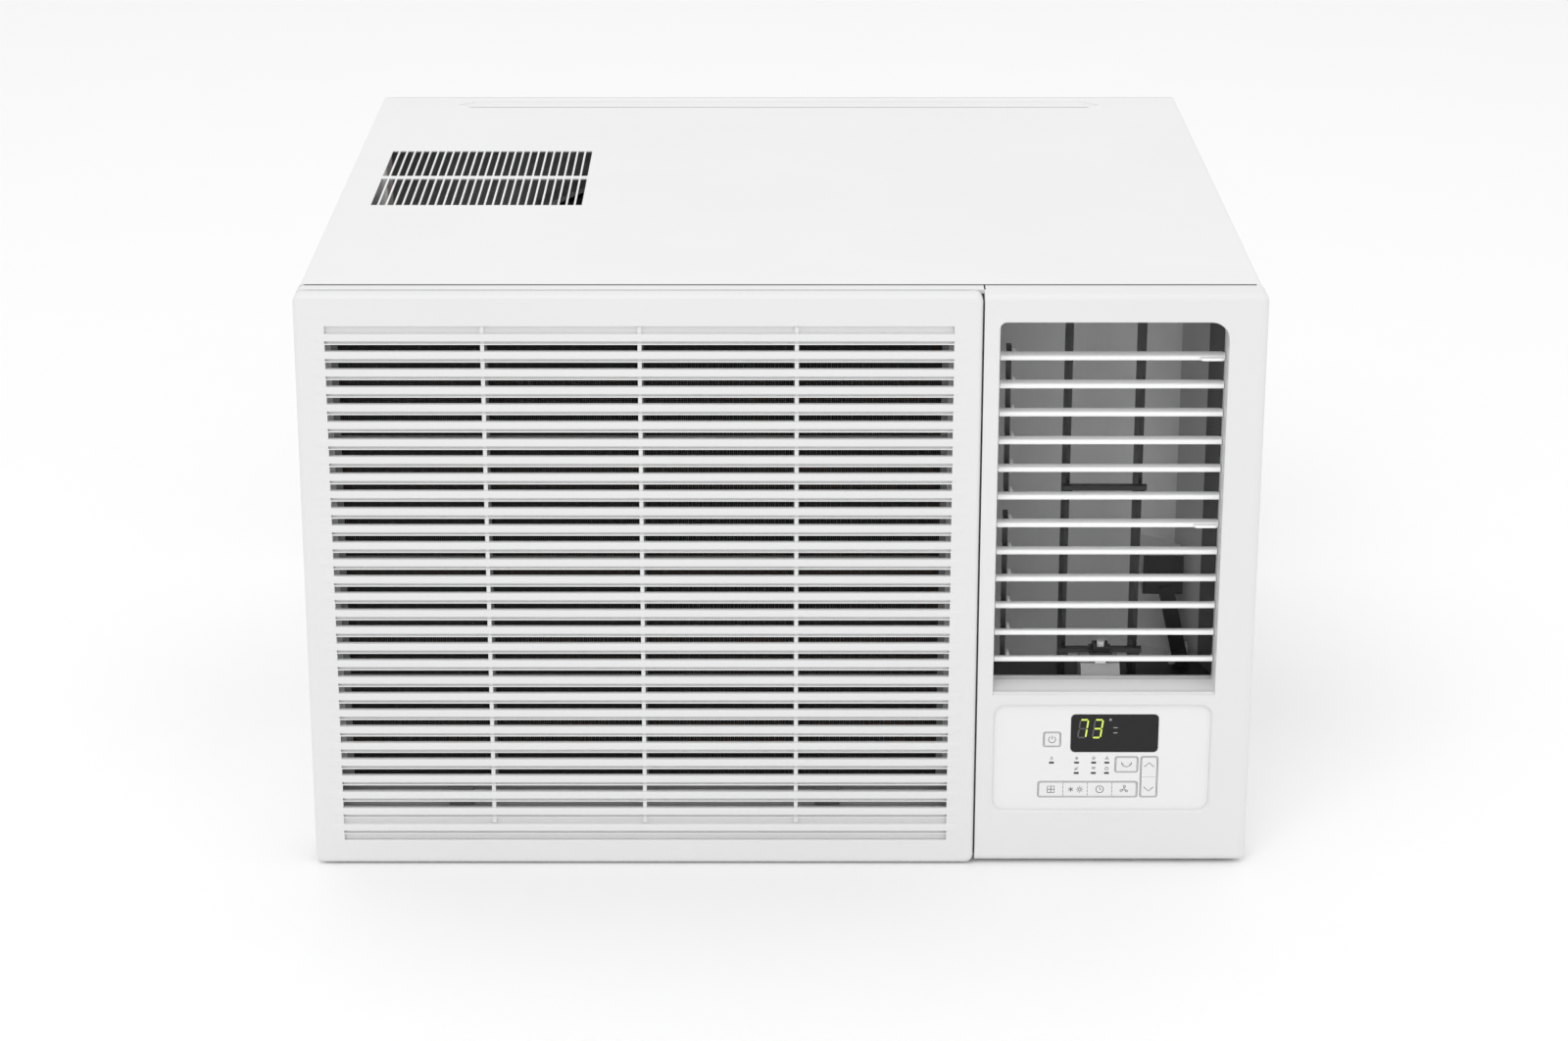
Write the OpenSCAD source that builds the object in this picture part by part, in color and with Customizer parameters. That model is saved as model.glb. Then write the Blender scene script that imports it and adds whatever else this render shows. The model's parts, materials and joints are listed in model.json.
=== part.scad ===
// Window air conditioner with a slide-out chassis, built as an assembly of separate pieces.
// Millimetres. +X is to the right seen from the room, +Y points outdoors, +Z is up.
// The origin is the middle of the footprint, on the surface that the cabinet stands on.

/* [Whole unit] */
// Width over the front panel
unit_w = 600; // [598:1:606]
// Height over the front panel
unit_h = 381; // [380:1:386]
// Depth from the face of the inlet grille to the rear edge of the cabinet
unit_d = 560; // [558:1:570]

/* [Cabinet] */
// Thickness of the sheet steel
sheet = 1; // [0.8:0.1:1.2]
// How far the front panel stands forward of the cabinet
panel_d = 26; // [26:1:28]
// Slots in each row of the top vent
top_slots = 26; // [20:1:26]
// Spacing of the top vent slots
top_pitch = 5.5; // [5:0.1:5.5]
// Upright slots in each row of a side vent
side_slots = 16; // [8:1:17]
// Spacing of the side vent slots
side_pitch = 9; // [8:0.5:9.5]

/* [Inlet grille] */
// Width of the hinged grille
grille_w = 424.2; // [424:0.1:424.4]
// Open slots between the bars
slot_count = 28; // [20:1:28]
// Spacing of the bars
slot_pitch = 11.31; // [11:0.01:11.35]
// Height of each open slot
slot_h = 4.4; // [3.5:0.1:5]

/* [Air outlet] */
// Width of the outlet opening
outlet_w = 141; // [140:1:141]
// Top edge of the outlet below the top of the unit
outlet_drop = 18; // [16:1:20]
// Height of the outlet opening
outlet_h = 241.5; // [240:0.5:242]
// Spacing of the louvres
louvre_pitch = 18.3; // [18:0.1:18.4]
// Depth of a louvre blade, front to back
louvre_chord = 13.5; // [11:0.5:14]

/* [Fans] */
// Radius of the indoor blower wheel
blower_r = 100; // [90:1:102]
// Blades on the blower wheel
blower_blades = 36; // [24:1:40]
// Radius of the outdoor fan, over its slinger ring
fan_r = 160; // [150:1:161]
// Blades on the outdoor fan
fan_blades = 5; // [3:1:6]

/* [Keys] */
// Height of the three small keys
key_h = 9.8; // [8:0.1:10]
// Gap between a key and the plate round it
key_gap = 0.3; // [0.2:0.05:0.4]

/* [Hidden] */
$fn = 48;

// Outer limits of the unit
x_left = -unit_w / 2;
x_right = unit_w / 2;
y_front = -unit_d / 2;
y_rear = unit_d / 2;

// Cabinet sleeve
cab_x = x_right - 1;
cab_top = unit_h - 1;
cab_y = y_front + panel_d;
panel_back = cab_y - 0.3;
rear_flange = 12;
vent_x = -cab_x + 24;
vent_y = -51;
vent_slot_l = 75;
vent_slot_w = 3.9;
vent_row_gap = 7;
bead_y = y_rear - 25;
bead_w = 22;
bead_l = 480;
bead_d = 2;
side_vent_y = -66;
side_slot_w = 4.5;
side_slot_h = 76;
sill_hole_r = 2.6;
sill_hole_x = 200;
sill_hole_y = 60;

// Front panel
wall = 2.5;
face_y = y_front + 1.5;
rib_y = face_y + wall;
plate_y = panel_back - wall;
split_x = x_left + grille_w + 1;
foot_z = 0.8;
right_foot_z = 2;
corner_r = 5;
cord_y = panel_back - 12;
cord_z = 22;
cord_r = 6;

// Inlet grille
grille_right = x_left + grille_w;
grille_back = y_front + 11;
grille_face = 3;
field_x0 = x_left + 19;
field_x1 = field_x0 + 387.6;
slot_top_z = unit_h - 33.6;
mullion_w = 3;
hinge_y = y_front + 9.6;
hinge_z = unit_h - 3.2;
hinge_pin_r = 1.2;
ear_x = 3;
strip_y = y_front + 13.4;

// Air filter
filter_x0 = x_left + 17;
filter_x1 = field_x1 + 1.4;
filter_z0 = 46;
filter_z1 = 359;
filter_y0 = y_front + 16;
filter_d = 4.4;
filter_rim = 8;

// Air outlet and its louvres
out_x0 = split_x + 9.8;
out_x1 = out_x0 + outlet_w;
out_z1 = unit_h - outlet_drop;
out_z0 = out_z1 - outlet_h;
out_mid = (out_x0 + out_x1) / 2;
louvre_y = y_front + 18;
louvre_top = out_z1 - 25.5;
louvre_count = 12;
group_size = louvre_count / 2;
louvre_pin_r = 1.2;
pin_gap = 0.08;
crank_l = 11;
crank_pin_r = 1.1;
link_x0 = out_x0 + 5.5;
link_w = 3.2;
tab_x = 15.5;

// Outlet duct and swing vanes
duct_y0 = panel_back + 0.3;
duct_x0 = split_x + 3;
duct_x1 = cab_x - 17;
duct_floor = 104;
duct_roof = 366;
duct_wall = 2;
duct_bend_y = -215;
duct_bend_d = 93;
vane_y = -222;
vane_gap = 46;
vane_t = 2.4;
vane_front = 14;
vane_rear = 22;
vane_pin_r = 1.5;
vane_arm = 20;
vane_z0 = duct_floor + 3;
vane_z1 = duct_roof - 3;
tie_z = 243;
drive_z = 133;
crank_y = -236;
crank_r = 10;
crank_shaft_r = 2.5;
crank_z = 127.5;
swing_slot_gap = 0.8;

// Ventilation lever
vent_pivot_x = 262;
vent_pivot_z = 114;
vent_port_x = 250;
vent_port_z = 168;
vent_port = 26;
vent_face_y = -192;

// Control plate
plate_x0 = out_x0 + 1.3;
plate_x1 = out_x1 - 1.5;
plate_z0 = 37.3;
plate_z1 = 109.4;
plate_front = rib_y;
plate_t = 2.6;
window_x0 = 185.4;
window_x1 = 241.5;
window_z0 = 76.9;
window_z1 = 103;
key_row_x = 165.7;
key_row_w = 62.8;
key_row_z = 46.3;
power_x = 168.6;
power_z = 81.2;
swing_key_x = 214.9;
swing_key_z = 63.5;
swing_key_w = 13.6;
temp_x = 231.3;
temp_w = 10;
temp_z1 = 73.4;
board_y = plate_front + 8;

// Shaft line that both fans turn on
fan_x = -85;
fan_z = 180;
shaft_r = 6;
orifice_y = -204;
inlet_r = 88;
scroll_y0 = -201;
scroll_y1 = -113;
scroll_start_r = 110;
scroll_end_r = 172;
scroll_sweep = 225;
throat_z = 112.5;
scroll_wall = 2.5;
bulkhead_y = -109.5;
motor_r = 60;
motor_y0 = -99;
motor_y1 = -24;

// Chassis
pan_x = cab_x - 8;
pan_y0 = cab_y + 3;
pan_y1 = y_rear - 12;
pan_z = 4;
pan_rim = 26;
pan_t = 1.2;
drain_x = -230;
drain_z = 15;
drain_r = 6;

// Outdoor side
shroud_y0 = 172;
shroud_y1 = 213;
condenser_y0 = 222;
condenser_y1 = 262;
comp_x = 195;
comp_y = 70;
comp_r = 57;
accumulator_x = 108;

// Colours of the pieces
white_plastic = [0.93, 0.93, 0.93];
white_steel = [0.92, 0.92, 0.92];
dark_plastic = [0.18, 0.18, 0.19];
grey_foam = [0.55, 0.55, 0.55];
zinc = [0.68, 0.7, 0.71];
fin_alloy = [0.75, 0.77, 0.79];
copper = [0.72, 0.45, 0.3];

// ---------------------------------------------------------------- helpers

// Points of a rectangle in a plane, with its own radius at each corner.
// The radii run from the low corner anticlockwise.
function corner(cx, cy, r, a0, n = 6) =
    r <= 0 ? [[cx, cy]] : [for (i = [0:n]) [cx + r * cos(a0 + 90 * i / n), cy + r * sin(a0 + 90 * i / n)]];
function soft_rect(x0, y0, x1, y1, r) = concat(
    corner(x0 + r[0], y0 + r[0], r[0], 180),
    corner(x1 - r[1], y0 + r[1], r[1], 270),
    corner(x1 - r[2], y1 - r[2], r[2], 0),
    corner(x0 + r[3], y1 - r[3], r[3], 90)
);

// A box from its two corners.
module box(low, high) {
    translate(low) cube(high - low);
}

// A flat shape drawn in X and Z, given a thickness from y0 to y1.
module front_plate(y0, y1) {
    translate([0, y1, 0]) rotate([90, 0, 0]) linear_extrude(y1 - y0) children();
}

// A section drawn in Y and Z, run along X from x0 to x1.
module bar_along_x(x0, x1) {
    translate([x0, 0, 0]) rotate([90, 0, 90]) linear_extrude(x1 - x0) children();
}

// A rectangle with round corners, standing in the X and Z plane.
module soft_plate(x0, z0, x1, z1, r, y0, y1) {
    front_plate(y0, y1) polygon(soft_rect(x0, z0, x1, z1, r));
}

// A rod along X.
module rod_x(x0, x1, y, z, r) {
    translate([x0, y, z]) rotate([0, 90, 0]) cylinder(h = x1 - x0, r = r);
}

// A rod along Y.
module rod_y(y0, y1, x, z, r) {
    translate([x, y1, z]) rotate([90, 0, 0]) cylinder(h = y1 - y0, r = r);
}

// A rod along Z.
module rod_z(z0, z1, x, y, r) {
    translate([x, y, z0]) cylinder(h = z1 - z0, r = r);
}

// Sweep of a round tube along a list of points, as one closed skin.
function unit(v) = v / norm(v);
function heading(p, i) =
    i == 0 ? unit(p[1] - p[0])
    : i == len(p) - 1 ? unit(p[i] - p[i - 1])
    : unit(unit(p[i + 1] - p[i]) + unit(p[i] - p[i - 1]));
function side_of(t, last) = unit(last - t * (last * t));
function sides(p, i = 0, last = [0.31, 0.47, 0.83]) =
    i >= len(p) ? []
    : let (s = side_of(heading(p, i), last)) concat([s], sides(p, i + 1, s));
module swept_tube(p, r, n = 10) {
    s = sides(p);
    rings = [for (i = [0:len(p) - 1]) let (t = heading(p, i), u = s[i], v = cross(t, u))
        for (k = [0:n - 1]) p[i] + r * (u * cos(360 * k / n) + v * sin(360 * k / n))];
    skin = [for (i = [0:len(p) - 2]) for (k = [0:n - 1])
        let (a = i * n + k, b = i * n + (k + 1) % n) each [[a, a + n, b], [b, a + n, b + n]]];
    ends = [[for (k = [0:n - 1]) k], [for (k = [n - 1:-1:0]) (len(p) - 1) * n + k]];
    polyhedron(rings, concat(skin, ends));
}

// Rounds the corners of a bent line: each corner becomes a short curve of the given reach.
function bent(p, reach, n = 5) = concat([p[0]], [for (i = [1:len(p) - 2])
    let (a = p[i] + unit(p[i - 1] - p[i]) * reach, b = p[i] + unit(p[i + 1] - p[i]) * reach)
    for (k = [0:n]) let (t = k / n) a * (1 - t) * (1 - t) + p[i] * 2 * t * (1 - t) + b * t * t],
        [p[len(p) - 1]]);

// ---------------------------------------------------------------- cabinet

// Height of the middle of a grille slot, counted down from the first open one.
function slot_z(n) = slot_top_z - n * slot_pitch;
function mullion_x(k) = field_x0 + k * (field_x1 - field_x0) / 4;
function louvre_z(i) = louvre_top - i * louvre_pitch;
// The blades of a group are set at slowly growing angles, so that the air fans out.
function louvre_tilt(i) = i < group_size ? 0.9 * i : 3 + 2.2 * (i - group_size);

module outer_cabinet() color(white_steel) {
    inner_x = cab_x - sheet;
    difference() {
        union() {
            difference() {
                box([-cab_x, cab_y, 0], [cab_x, y_rear, cab_top]);
                box([-inner_x, cab_y - 1, sheet], [inner_x, y_rear - sheet, cab_top - sheet]);
                box([rear_flange - cab_x, y_rear - 2, sheet],
                    [cab_x - rear_flange, y_rear + 1, cab_top - rear_flange]);
            }
            bead_blank();
        }
        bead_hollow();
        top_vent();
        for (side = [-1, 1]) side_vent(side);
        for (x = [-1, 1], y = [-1, 1])
            rod_z(-1, sheet + 1, x * sill_hole_x, -120 + y * sill_hole_y, sill_hole_r);
    }
}

// Stiffening bead pressed down into the top sheet, near its rear edge.
function bead_outline(grow) = let (l = bead_l / 2 + grow, w = bead_w / 2 + grow, tip = bead_w)
    [[-l, 0], [tip - l, -w], [l - tip, -w], [l, 0], [l - tip, w], [tip - l, w]];
module bead_blank() {
    translate([0, bead_y, cab_top - sheet - bead_d]) linear_extrude(bead_d + sheet / 2)
        polygon(bead_outline(sheet));
}
module bead_hollow() {
    translate([0, bead_y, cab_top - bead_d]) linear_extrude(bead_d + 1) polygon(bead_outline(0));
}

// Two rows of slots that let outdoor air into the fan side from above.
module top_vent() {
    for (row = [0, 1], i = [0:top_slots - 1]) {
        x = vent_x + i * top_pitch;
        y = vent_y + row * (vent_slot_l + vent_row_gap);
        box([x, y, cab_top - sheet - 1], [x + vent_slot_w, y + vent_slot_l, cab_top + 1]);
    }
}

// Three rows of upright slots in one side.
module side_vent(side) {
    x = side * (cab_x - sheet / 2);
    for (row = [0:2], i = [0:side_slots - 1]) {
        y = side_vent_y + i * side_pitch;
        z = 66 + row * (side_slot_h + 12);
        box([x - 2, y, z], [x + 2, y + side_slot_w, z + side_slot_h]);
    }
}

// ---------------------------------------------------------------- front panel

module front_panel() color(white_plastic) difference() {
    union() {
        // Rear plate that the coil and the duct sit behind.
        box([x_left, plate_y, foot_z], [x_right, panel_back, unit_h]);
        // Rim behind the grille: top, left side and bottom.
        box([x_left, strip_y, unit_h - wall], [split_x, panel_back, unit_h]);
        box([x_left, strip_y, foot_z], [x_left + wall, panel_back, unit_h]);
        box([x_left, strip_y, foot_z], [split_x, panel_back, foot_z + wall]);
        // Right-hand part, with its face, edges and the wall beside the grille.
        outlet_shell();
        // Collar of the outlet, which holds the louvres.
        box([out_x0 - wall, rib_y - 1, out_z0 - wall], [out_x1 + wall, panel_back, out_z1 + wall]);
        filter_guides();
        grille_ears();
    }
    // Way in for the air.
    box([filter_x0 + 4, plate_y - 1, filter_z0 + 2], [filter_x1 - 4, panel_back + 1, filter_z1 + 3]);
    // Outlet, open from front to back.
    front_plate(face_y - 1, panel_back + 1)
        polygon(soft_rect(out_x0, out_z0, out_x1, out_z1, [0, 0, 11, 4]));
    // Opening for the control plate.
    soft_plate(plate_x0, plate_z0, plate_x1, plate_z1, [6, 6, 6, 6], face_y - 1, rib_y + 1);
    box([plate_x0 - 5, rib_y, 32], [plate_x1 + 5, panel_back + 1, plate_z1 + 5]);
    // Bores for the louvre pins, through both walls of the collar.
    for (i = [0:louvre_count - 1])
        rod_x(out_x0 - wall - 1, out_x1 + wall + 1, louvre_y, louvre_z(i), louvre_pin_r + pin_gap);
    // Bores for the grille's hinge pins and the hole for the supply cord.
    rod_x(x_left + ear_x, grille_right - ear_x, hinge_y, hinge_z, hinge_pin_r + pin_gap);
    rod_x(x_right - wall - 1, x_right + 1, cord_y, cord_z, cord_r + 0.2);
}

// Face and edges of the part that holds the outlet and the controls.
module outlet_shell() difference() {
    soft_plate(split_x, right_foot_z, x_right, unit_h, [0, corner_r, corner_r, 0], face_y, panel_back);
    box([split_x + wall, rib_y, right_foot_z + wall], [x_right - wall, panel_back + 1, unit_h - wall]);
}

// Rails that the filter slides between, and the bar that it stands on.
module filter_guides() {
    box([filter_x0 - 6, filter_y0 - 2, filter_z0 - 6], [filter_x0 - 0.4, plate_y, filter_z1 + 8]);
    box([filter_x1 + 0.4, filter_y0 - 2, filter_z0 - 6], [filter_x1 + 6, plate_y, filter_z1 + 8]);
    box([filter_x0 - 6, filter_y0 - 2, filter_z0 + 20], [filter_x0 + 4, filter_y0 - 0.4, filter_z1 - 10]);
    box([filter_x1 - 4, filter_y0 - 2, filter_z0 + 20], [filter_x1 + 6, filter_y0 - 0.4, filter_z1 - 10]);
    box([filter_x0 - 6, filter_y0 + 1, filter_z0 - 26], [filter_x1 + 6, plate_y, filter_z0 - 0.4]);
}

// Ears with the bores that the grille hangs from.
module grille_ears() {
    for (x = [x_left + ear_x + 0.6, grille_right - ear_x - 4])
        bar_along_x(x, x + 3.4)
            polygon([[hinge_y - 2.4, hinge_z - 2.2], [strip_y + 1, unit_h - 10], [strip_y + 1, unit_h - 1],
                [hinge_y + 3, unit_h - wall + 0.4], [hinge_y + 2, hinge_z + 1.8],
                    [hinge_y - 1.4, hinge_z + 1.8],
                [hinge_y - 2.4, hinge_z + 0.9]]);
}

module inlet_grille() color(white_plastic) {
    difference() {
        soft_plate(x_left, foot_z, grille_right, unit_h, [corner_r, corner_r, corner_r, corner_r],
            y_front, grille_back);
        // Hollow behind the face.
        box([x_left + 2, y_front + grille_face, foot_z + 2],
            [grille_right - 2, grille_back + 1, unit_h - 1.6]);
        // Open slots, in four bays.
        for (n = [0:slot_count - 1], k = [0:3])
            box([mullion_x(k) + mullion_w / 2, y_front - 1, slot_z(n) - slot_h / 2],
                [mullion_x(k + 1) - mullion_w / 2, y_front + grille_face + 1, slot_z(n) + slot_h / 2]);
        // Blind grooves that carry the pattern on above and below.
        for (n = [-1, slot_count, slot_count + 1])
            box([field_x0, y_front - 1, slot_z(n) - slot_h / 2],
                [field_x1, y_front + 1.4, slot_z(n) + slot_h / 2]);
        // Notches in the top lip for the ears.
        for (x = [x_left + ear_x - 0.2, grille_right - ear_x - 4.6])
            box([x, hinge_y - 3.6, unit_h - 4], [x + 4.8, grille_back + 1, unit_h - 0.6]);
        for (x = [x_left + ear_x - 0.2, grille_right - ear_x - 4.6])
            box([x, hinge_y - 1.6, unit_h - 4], [x + 4.8, grille_back + 1, unit_h + 1]);
    }
    // Ribs down the back, which stiffen the bars.
    for (k = [1:3])
        box([mullion_x(k) - mullion_w / 2, y_front + 1, slot_z(slot_count - 1) - 8],
            [mullion_x(k) + mullion_w / 2, y_front + 8, slot_z(0) + 8]);
    // Hinge pins.
    rod_x(x_left + 1, x_left + ear_x + 3.6, hinge_y, hinge_z, hinge_pin_r);
    rod_x(grille_right - ear_x - 3.6, grille_right - 1, hinge_y, hinge_z, hinge_pin_r);
}

module filter_frame() color([0.85, 0.86, 0.87]) {
    rib_d = filter_d - 1.6;
    difference() {
        box([filter_x0, filter_y0, filter_z0], [filter_x1, filter_y0 + filter_d, filter_z1]);
        box([filter_x0 + filter_rim, filter_y0 - 1, filter_z0 + filter_rim],
            [filter_x1 - filter_rim, filter_y0 + filter_d + 1, filter_z1 - filter_rim]);
        // Rebate that the mesh is welded into.
        box([filter_x0 + 5, filter_y0 + rib_d, filter_z0 + 5],
            [filter_x1 - 5, filter_y0 + filter_d + 1, filter_z1 - 5]);
    }
    for (k = [1:3])
        box([mullion_x(k) - 2, filter_y0 + 0.6, filter_z0 + 4],
            [mullion_x(k) + 2, filter_y0 + rib_d, filter_z1 - 4]);
    for (z = [123, 203, 283])
        box([filter_x0 + 4, filter_y0 + 0.6, z - 2.5], [filter_x1 - 4, filter_y0 + rib_d, z + 2.5]);
    // Finger tabs under the lower edge.
    for (x = [-206, 30])
        box([x - 8, filter_y0 - 2.5, filter_z0 - 10], [x + 8, filter_y0 + 0.6, filter_z0 + 3]);
}

module filter_mesh() color(dark_plastic)
    box([filter_x0 + 5.3, filter_y0 + filter_d - 1.5, filter_z0 + 5.3],
        [filter_x1 - 5.3, filter_y0 + filter_d - 0.7, filter_z1 - 5.3]);

// ---------------------------------------------------------------- louvres

// Cross-section of a blade, nose to the front.
function blade_section() = let (h = louvre_chord / 2)
    [[-h, 0.2], [-h + 0.5, -0.8], [-h + 1.8, -1.15], [0, -1.1], [h, -0.5],
        [h, 0.4], [0, 1.1], [-h + 1.8, 1.15], [-h + 0.5, 0.9]];

module louvre(i) color([0.97, 0.97, 0.97]) translate([0, louvre_y, louvre_z(i)]) {
    arm_x = link_x0 + link_w + 0.4;
    rotate([-louvre_tilt(i), 0, 0]) {
        bar_along_x(out_x0 + 1, out_x1 - 1) polygon(blade_section());
        if (i % group_size == 0)
            box([out_x1 - 1 - tab_x, -louvre_chord / 2 - 3.2, -1],
                [out_x1 - 1.4, -louvre_chord / 2 + 2, 1]);
    }
    rod_x(out_x0 - wall + 0.2, out_x0 + 3, 0, 0, louvre_pin_r);
    rod_x(out_x1 - 3, out_x1 + wall - 0.2, 0, 0, louvre_pin_r);
    // Arm and pin for the link.
    box([arm_x, 0, -1.3], [arm_x + 2, crank_l + 1.6, 1.3]);
    rod_x(link_x0 - 0.2, arm_x + 0.5, crank_l, 0, crank_pin_r);
}

// Flat bar that makes one group of blades turn together.
module louvre_link(first) color(dark_plastic) {
    y = louvre_y + crank_l;
    difference() {
        box([link_x0, y - 2.3, louvre_z(first + group_size - 1) - 3],
            [link_x0 + link_w, y + 2.3, louvre_z(first) + 4]);
        for (i = [first:first + group_size - 1])
            rod_x(link_x0 - 1, link_x0 + link_w + 1, y, louvre_z(i), crank_pin_r + pin_gap);
    }
}

// ---------------------------------------------------------------- duct and swing vanes

// The duct turns the air from the scroll towards the room, along a quarter of an ellipse.
function duct_curve(grow) = let (a = duct_x1 - duct_x0 + grow, b = duct_bend_d + grow)
    [for (i = [0:16]) [duct_x0 + a * sin(90 * i / 16), duct_bend_y + b * cos(90 * i / 16)]];
function duct_inside() = concat([[duct_x0, duct_y0 - 1]], duct_curve(0), [[duct_x1, duct_y0 - 1]]);
function duct_outside() = concat([[duct_x0 - duct_wall, duct_y0],
    [duct_x0 - duct_wall, duct_bend_y + duct_bend_d + duct_wall]],
    duct_curve(duct_wall), [[duct_x1 + duct_wall, duct_y0]]);

module outlet_duct() color(grey_foam) {
    difference() {
        translate([0, 0, duct_floor - duct_wall])
            linear_extrude(duct_roof - duct_floor + 2 * duct_wall) polygon(duct_outside());
        translate([0, 0, duct_floor]) linear_extrude(duct_roof - duct_floor) polygon(duct_inside());
        // Way in from the scroll.
        box([duct_x0 - duct_wall - 1, scroll_y0 + 4, throat_z],
            [duct_x0 + 1, scroll_y1 - 6, fan_z + scroll_end_r - 2]);
        // Bores for the vane pins, and clearance for the swing motor's shaft.
        for (side = [-1, 1])
            rod_z(duct_floor - duct_wall - 1, duct_roof + duct_wall + 1, out_mid + side * vane_gap / 2,
                vane_y,
                vane_pin_r + pin_gap);
        rod_z(duct_floor - duct_wall - 1, duct_floor + 1, out_mid, crank_y, crank_shaft_r + 1);
        // Ventilation port, and the bore for its lever's pin.
        box([vent_port_x - vent_port / 2 + 4, vent_face_y, vent_port_z - vent_port / 2 + 4],
            [vent_port_x + vent_port / 2 - 4, scroll_y1, vent_port_z + vent_port / 2 - 4]);
    }
    vent_seat();
    difference() {
        box([vent_pivot_x - 6, vent_face_y - 0.5, duct_floor - 0.5],
            [vent_pivot_x + 6, vent_face_y + 3.5, vent_pivot_z + 5]);
        rod_y(vent_face_y - 2, vent_face_y + 5, vent_pivot_x, vent_pivot_z, 2 + pin_gap);
    }
}

// Flat seat, standing out from the curved wall, that the damper slides over.
module vent_seat() difference() {
    intersection() {
        box([vent_port_x - vent_port / 2, vent_face_y, vent_port_z - vent_port / 2],
            [vent_port_x + vent_port / 2, scroll_y1, vent_port_z + vent_port / 2]);
        translate([0, 0, duct_floor]) linear_extrude(duct_roof - duct_floor) polygon(duct_outside());
    }
    box([vent_port_x - vent_port / 2 + 4, vent_face_y - 1, vent_port_z - vent_port / 2 + 4],
        [vent_port_x + vent_port / 2 - 4, scroll_y1 + 1, vent_port_z + vent_port / 2 - 4]);
}

// Damper plate on its swinging arm, with a finger tab in front of the pivot.
module vent_lever() color(dark_plastic) {
    y1 = vent_face_y - 0.8;
    lean = atan2(vent_pivot_x - vent_port_x, vent_port_z - vent_pivot_z);
    reach = norm([vent_pivot_x - vent_port_x, vent_port_z - vent_pivot_z]);
    box([vent_port_x - vent_port / 2, y1 - 2, vent_port_z - vent_port / 2],
        [vent_port_x + vent_port / 2, y1, vent_port_z + vent_port / 2]);
    translate([vent_pivot_x, y1, vent_pivot_z]) rotate([0, -lean, 0]) {
        box([-5, -3, -5], [5, 0, reach - 8]);
        box([-4, -16, -5], [4, -2, 2]);
    }
    rod_y(y1 - 1, vent_face_y + 4.5, vent_pivot_x, vent_pivot_z, 2);
}

module swing_vane(x) color(dark_plastic) translate([x, vane_y, 0]) {
    box([-vane_t / 2, -vane_front, vane_z0], [vane_t / 2, vane_rear, vane_z1]);
    rod_z(duct_floor - duct_wall + 0.2, vane_z0 + 1, 0, 0, vane_pin_r);
    rod_z(vane_z1 - 1, duct_roof + duct_wall - 0.2, 0, 0, vane_pin_r);
    // Lugs with pins, for the tie bar and the drive link.
    for (z = [tie_z, drive_z]) {
        box([-2.5, -vane_arm - 2.5, z - 4], [2.5, -vane_front + 1, z - 0.3]);
        rod_z(z - 1, z + 3.5, 0, -vane_arm, vane_pin_r);
    }
}

// Bar across both vanes, with a bore for each pin.
module vane_bar(z) difference() {
    box([out_mid - vane_gap / 2 - 3.5, vane_y - vane_arm - 2.5, z],
        [out_mid + vane_gap / 2 + 3.5, vane_y - vane_arm + 2.5, z + 3]);
    for (side = [-1, 1])
        rod_z(z - 1, z + 5, out_mid + side * vane_gap / 2, vane_y - vane_arm, vane_pin_r + pin_gap);
}

module vane_tie_bar() color(dark_plastic) vane_bar(tie_z);

// The lower bar has a slotted head that the crank pin works in.
module vane_drive_link() color(dark_plastic) {
    pin_y = crank_y - crank_r;
    half = crank_shaft_r + swing_slot_gap;
    difference() {
        union() {
            vane_bar(drive_z);
            box([out_mid - 7, pin_y - 6, drive_z], [out_mid + 7, vane_y - vane_arm + 5.5, drive_z + 3]);
            box([out_mid - 5, pin_y - 5, drive_z], [out_mid + 5, pin_y + 8, drive_z + 6]);
        }
        box([out_mid - half, pin_y - half - 0.3, drive_z - 1],
            [out_mid + half, pin_y + half + 3.4, drive_z + 7]);
    }
}

module swing_crank() color([0.95, 0.95, 0.95]) {
    rod_z(96, crank_z + 2, out_mid, crank_y, crank_shaft_r);
    box([out_mid - 3.4, crank_y - crank_r - 3.4, crank_z], [out_mid + 3.4, crank_y + 3.4, crank_z + 3]);
    rod_z(crank_z + 2, drive_z + 9, out_mid, crank_y - crank_r, crank_shaft_r);
}

module swing_motor() color(zinc) difference() {
    union() {
        rod_z(85, 101, out_mid, crank_y, 12.5);
        box([out_mid - 19, crank_y - 4, 98.5], [out_mid + 19, crank_y + 4, 101]);
    }
    rod_z(94, 102, out_mid, crank_y, crank_shaft_r + pin_gap);
}

// Bent bracket that carries the top of the crank shaft.
module swing_bracket() color([0.72, 0.72, 0.72]) difference() {
    bar_along_x(out_mid - 12.5, out_mid + 12.5)
        polygon([[crank_y + 10, 104.2], [crank_y + 12, 104.2], [crank_y + 12, 126.5],
            [crank_y - 10.5, 126.5],
            [crank_y - 16, 120.5], [crank_y - 16, 104.2], [crank_y - 14, 104.2], [crank_y - 14, 119.7],
            [crank_y - 9.6, 124.5], [crank_y + 10, 124.5]]);
    rod_z(120, 130, out_mid, crank_y, crank_shaft_r + pin_gap);
}

// ---------------------------------------------------------------- controls

// The keys: low corner and size in the plane of the plate.
function key_row_cell(k) = [key_row_x + k * key_row_w / 4, key_row_z, key_row_w / 4, key_h];
power_cell = [power_x, power_z, 10, 9];
swing_cell = [swing_key_x, swing_key_z, swing_key_w, key_h];
temp_down_cell = [temp_x, key_row_z, temp_w, (temp_z1 - key_row_z) / 2];
temp_up_cell = [temp_x, (temp_z1 + key_row_z) / 2, temp_w, (temp_z1 - key_row_z) / 2];
key_cells = [power_cell, key_row_cell(0), key_row_cell(1), key_row_cell(2), key_row_cell(3), swing_cell,
    temp_up_cell, temp_down_cell];
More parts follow.
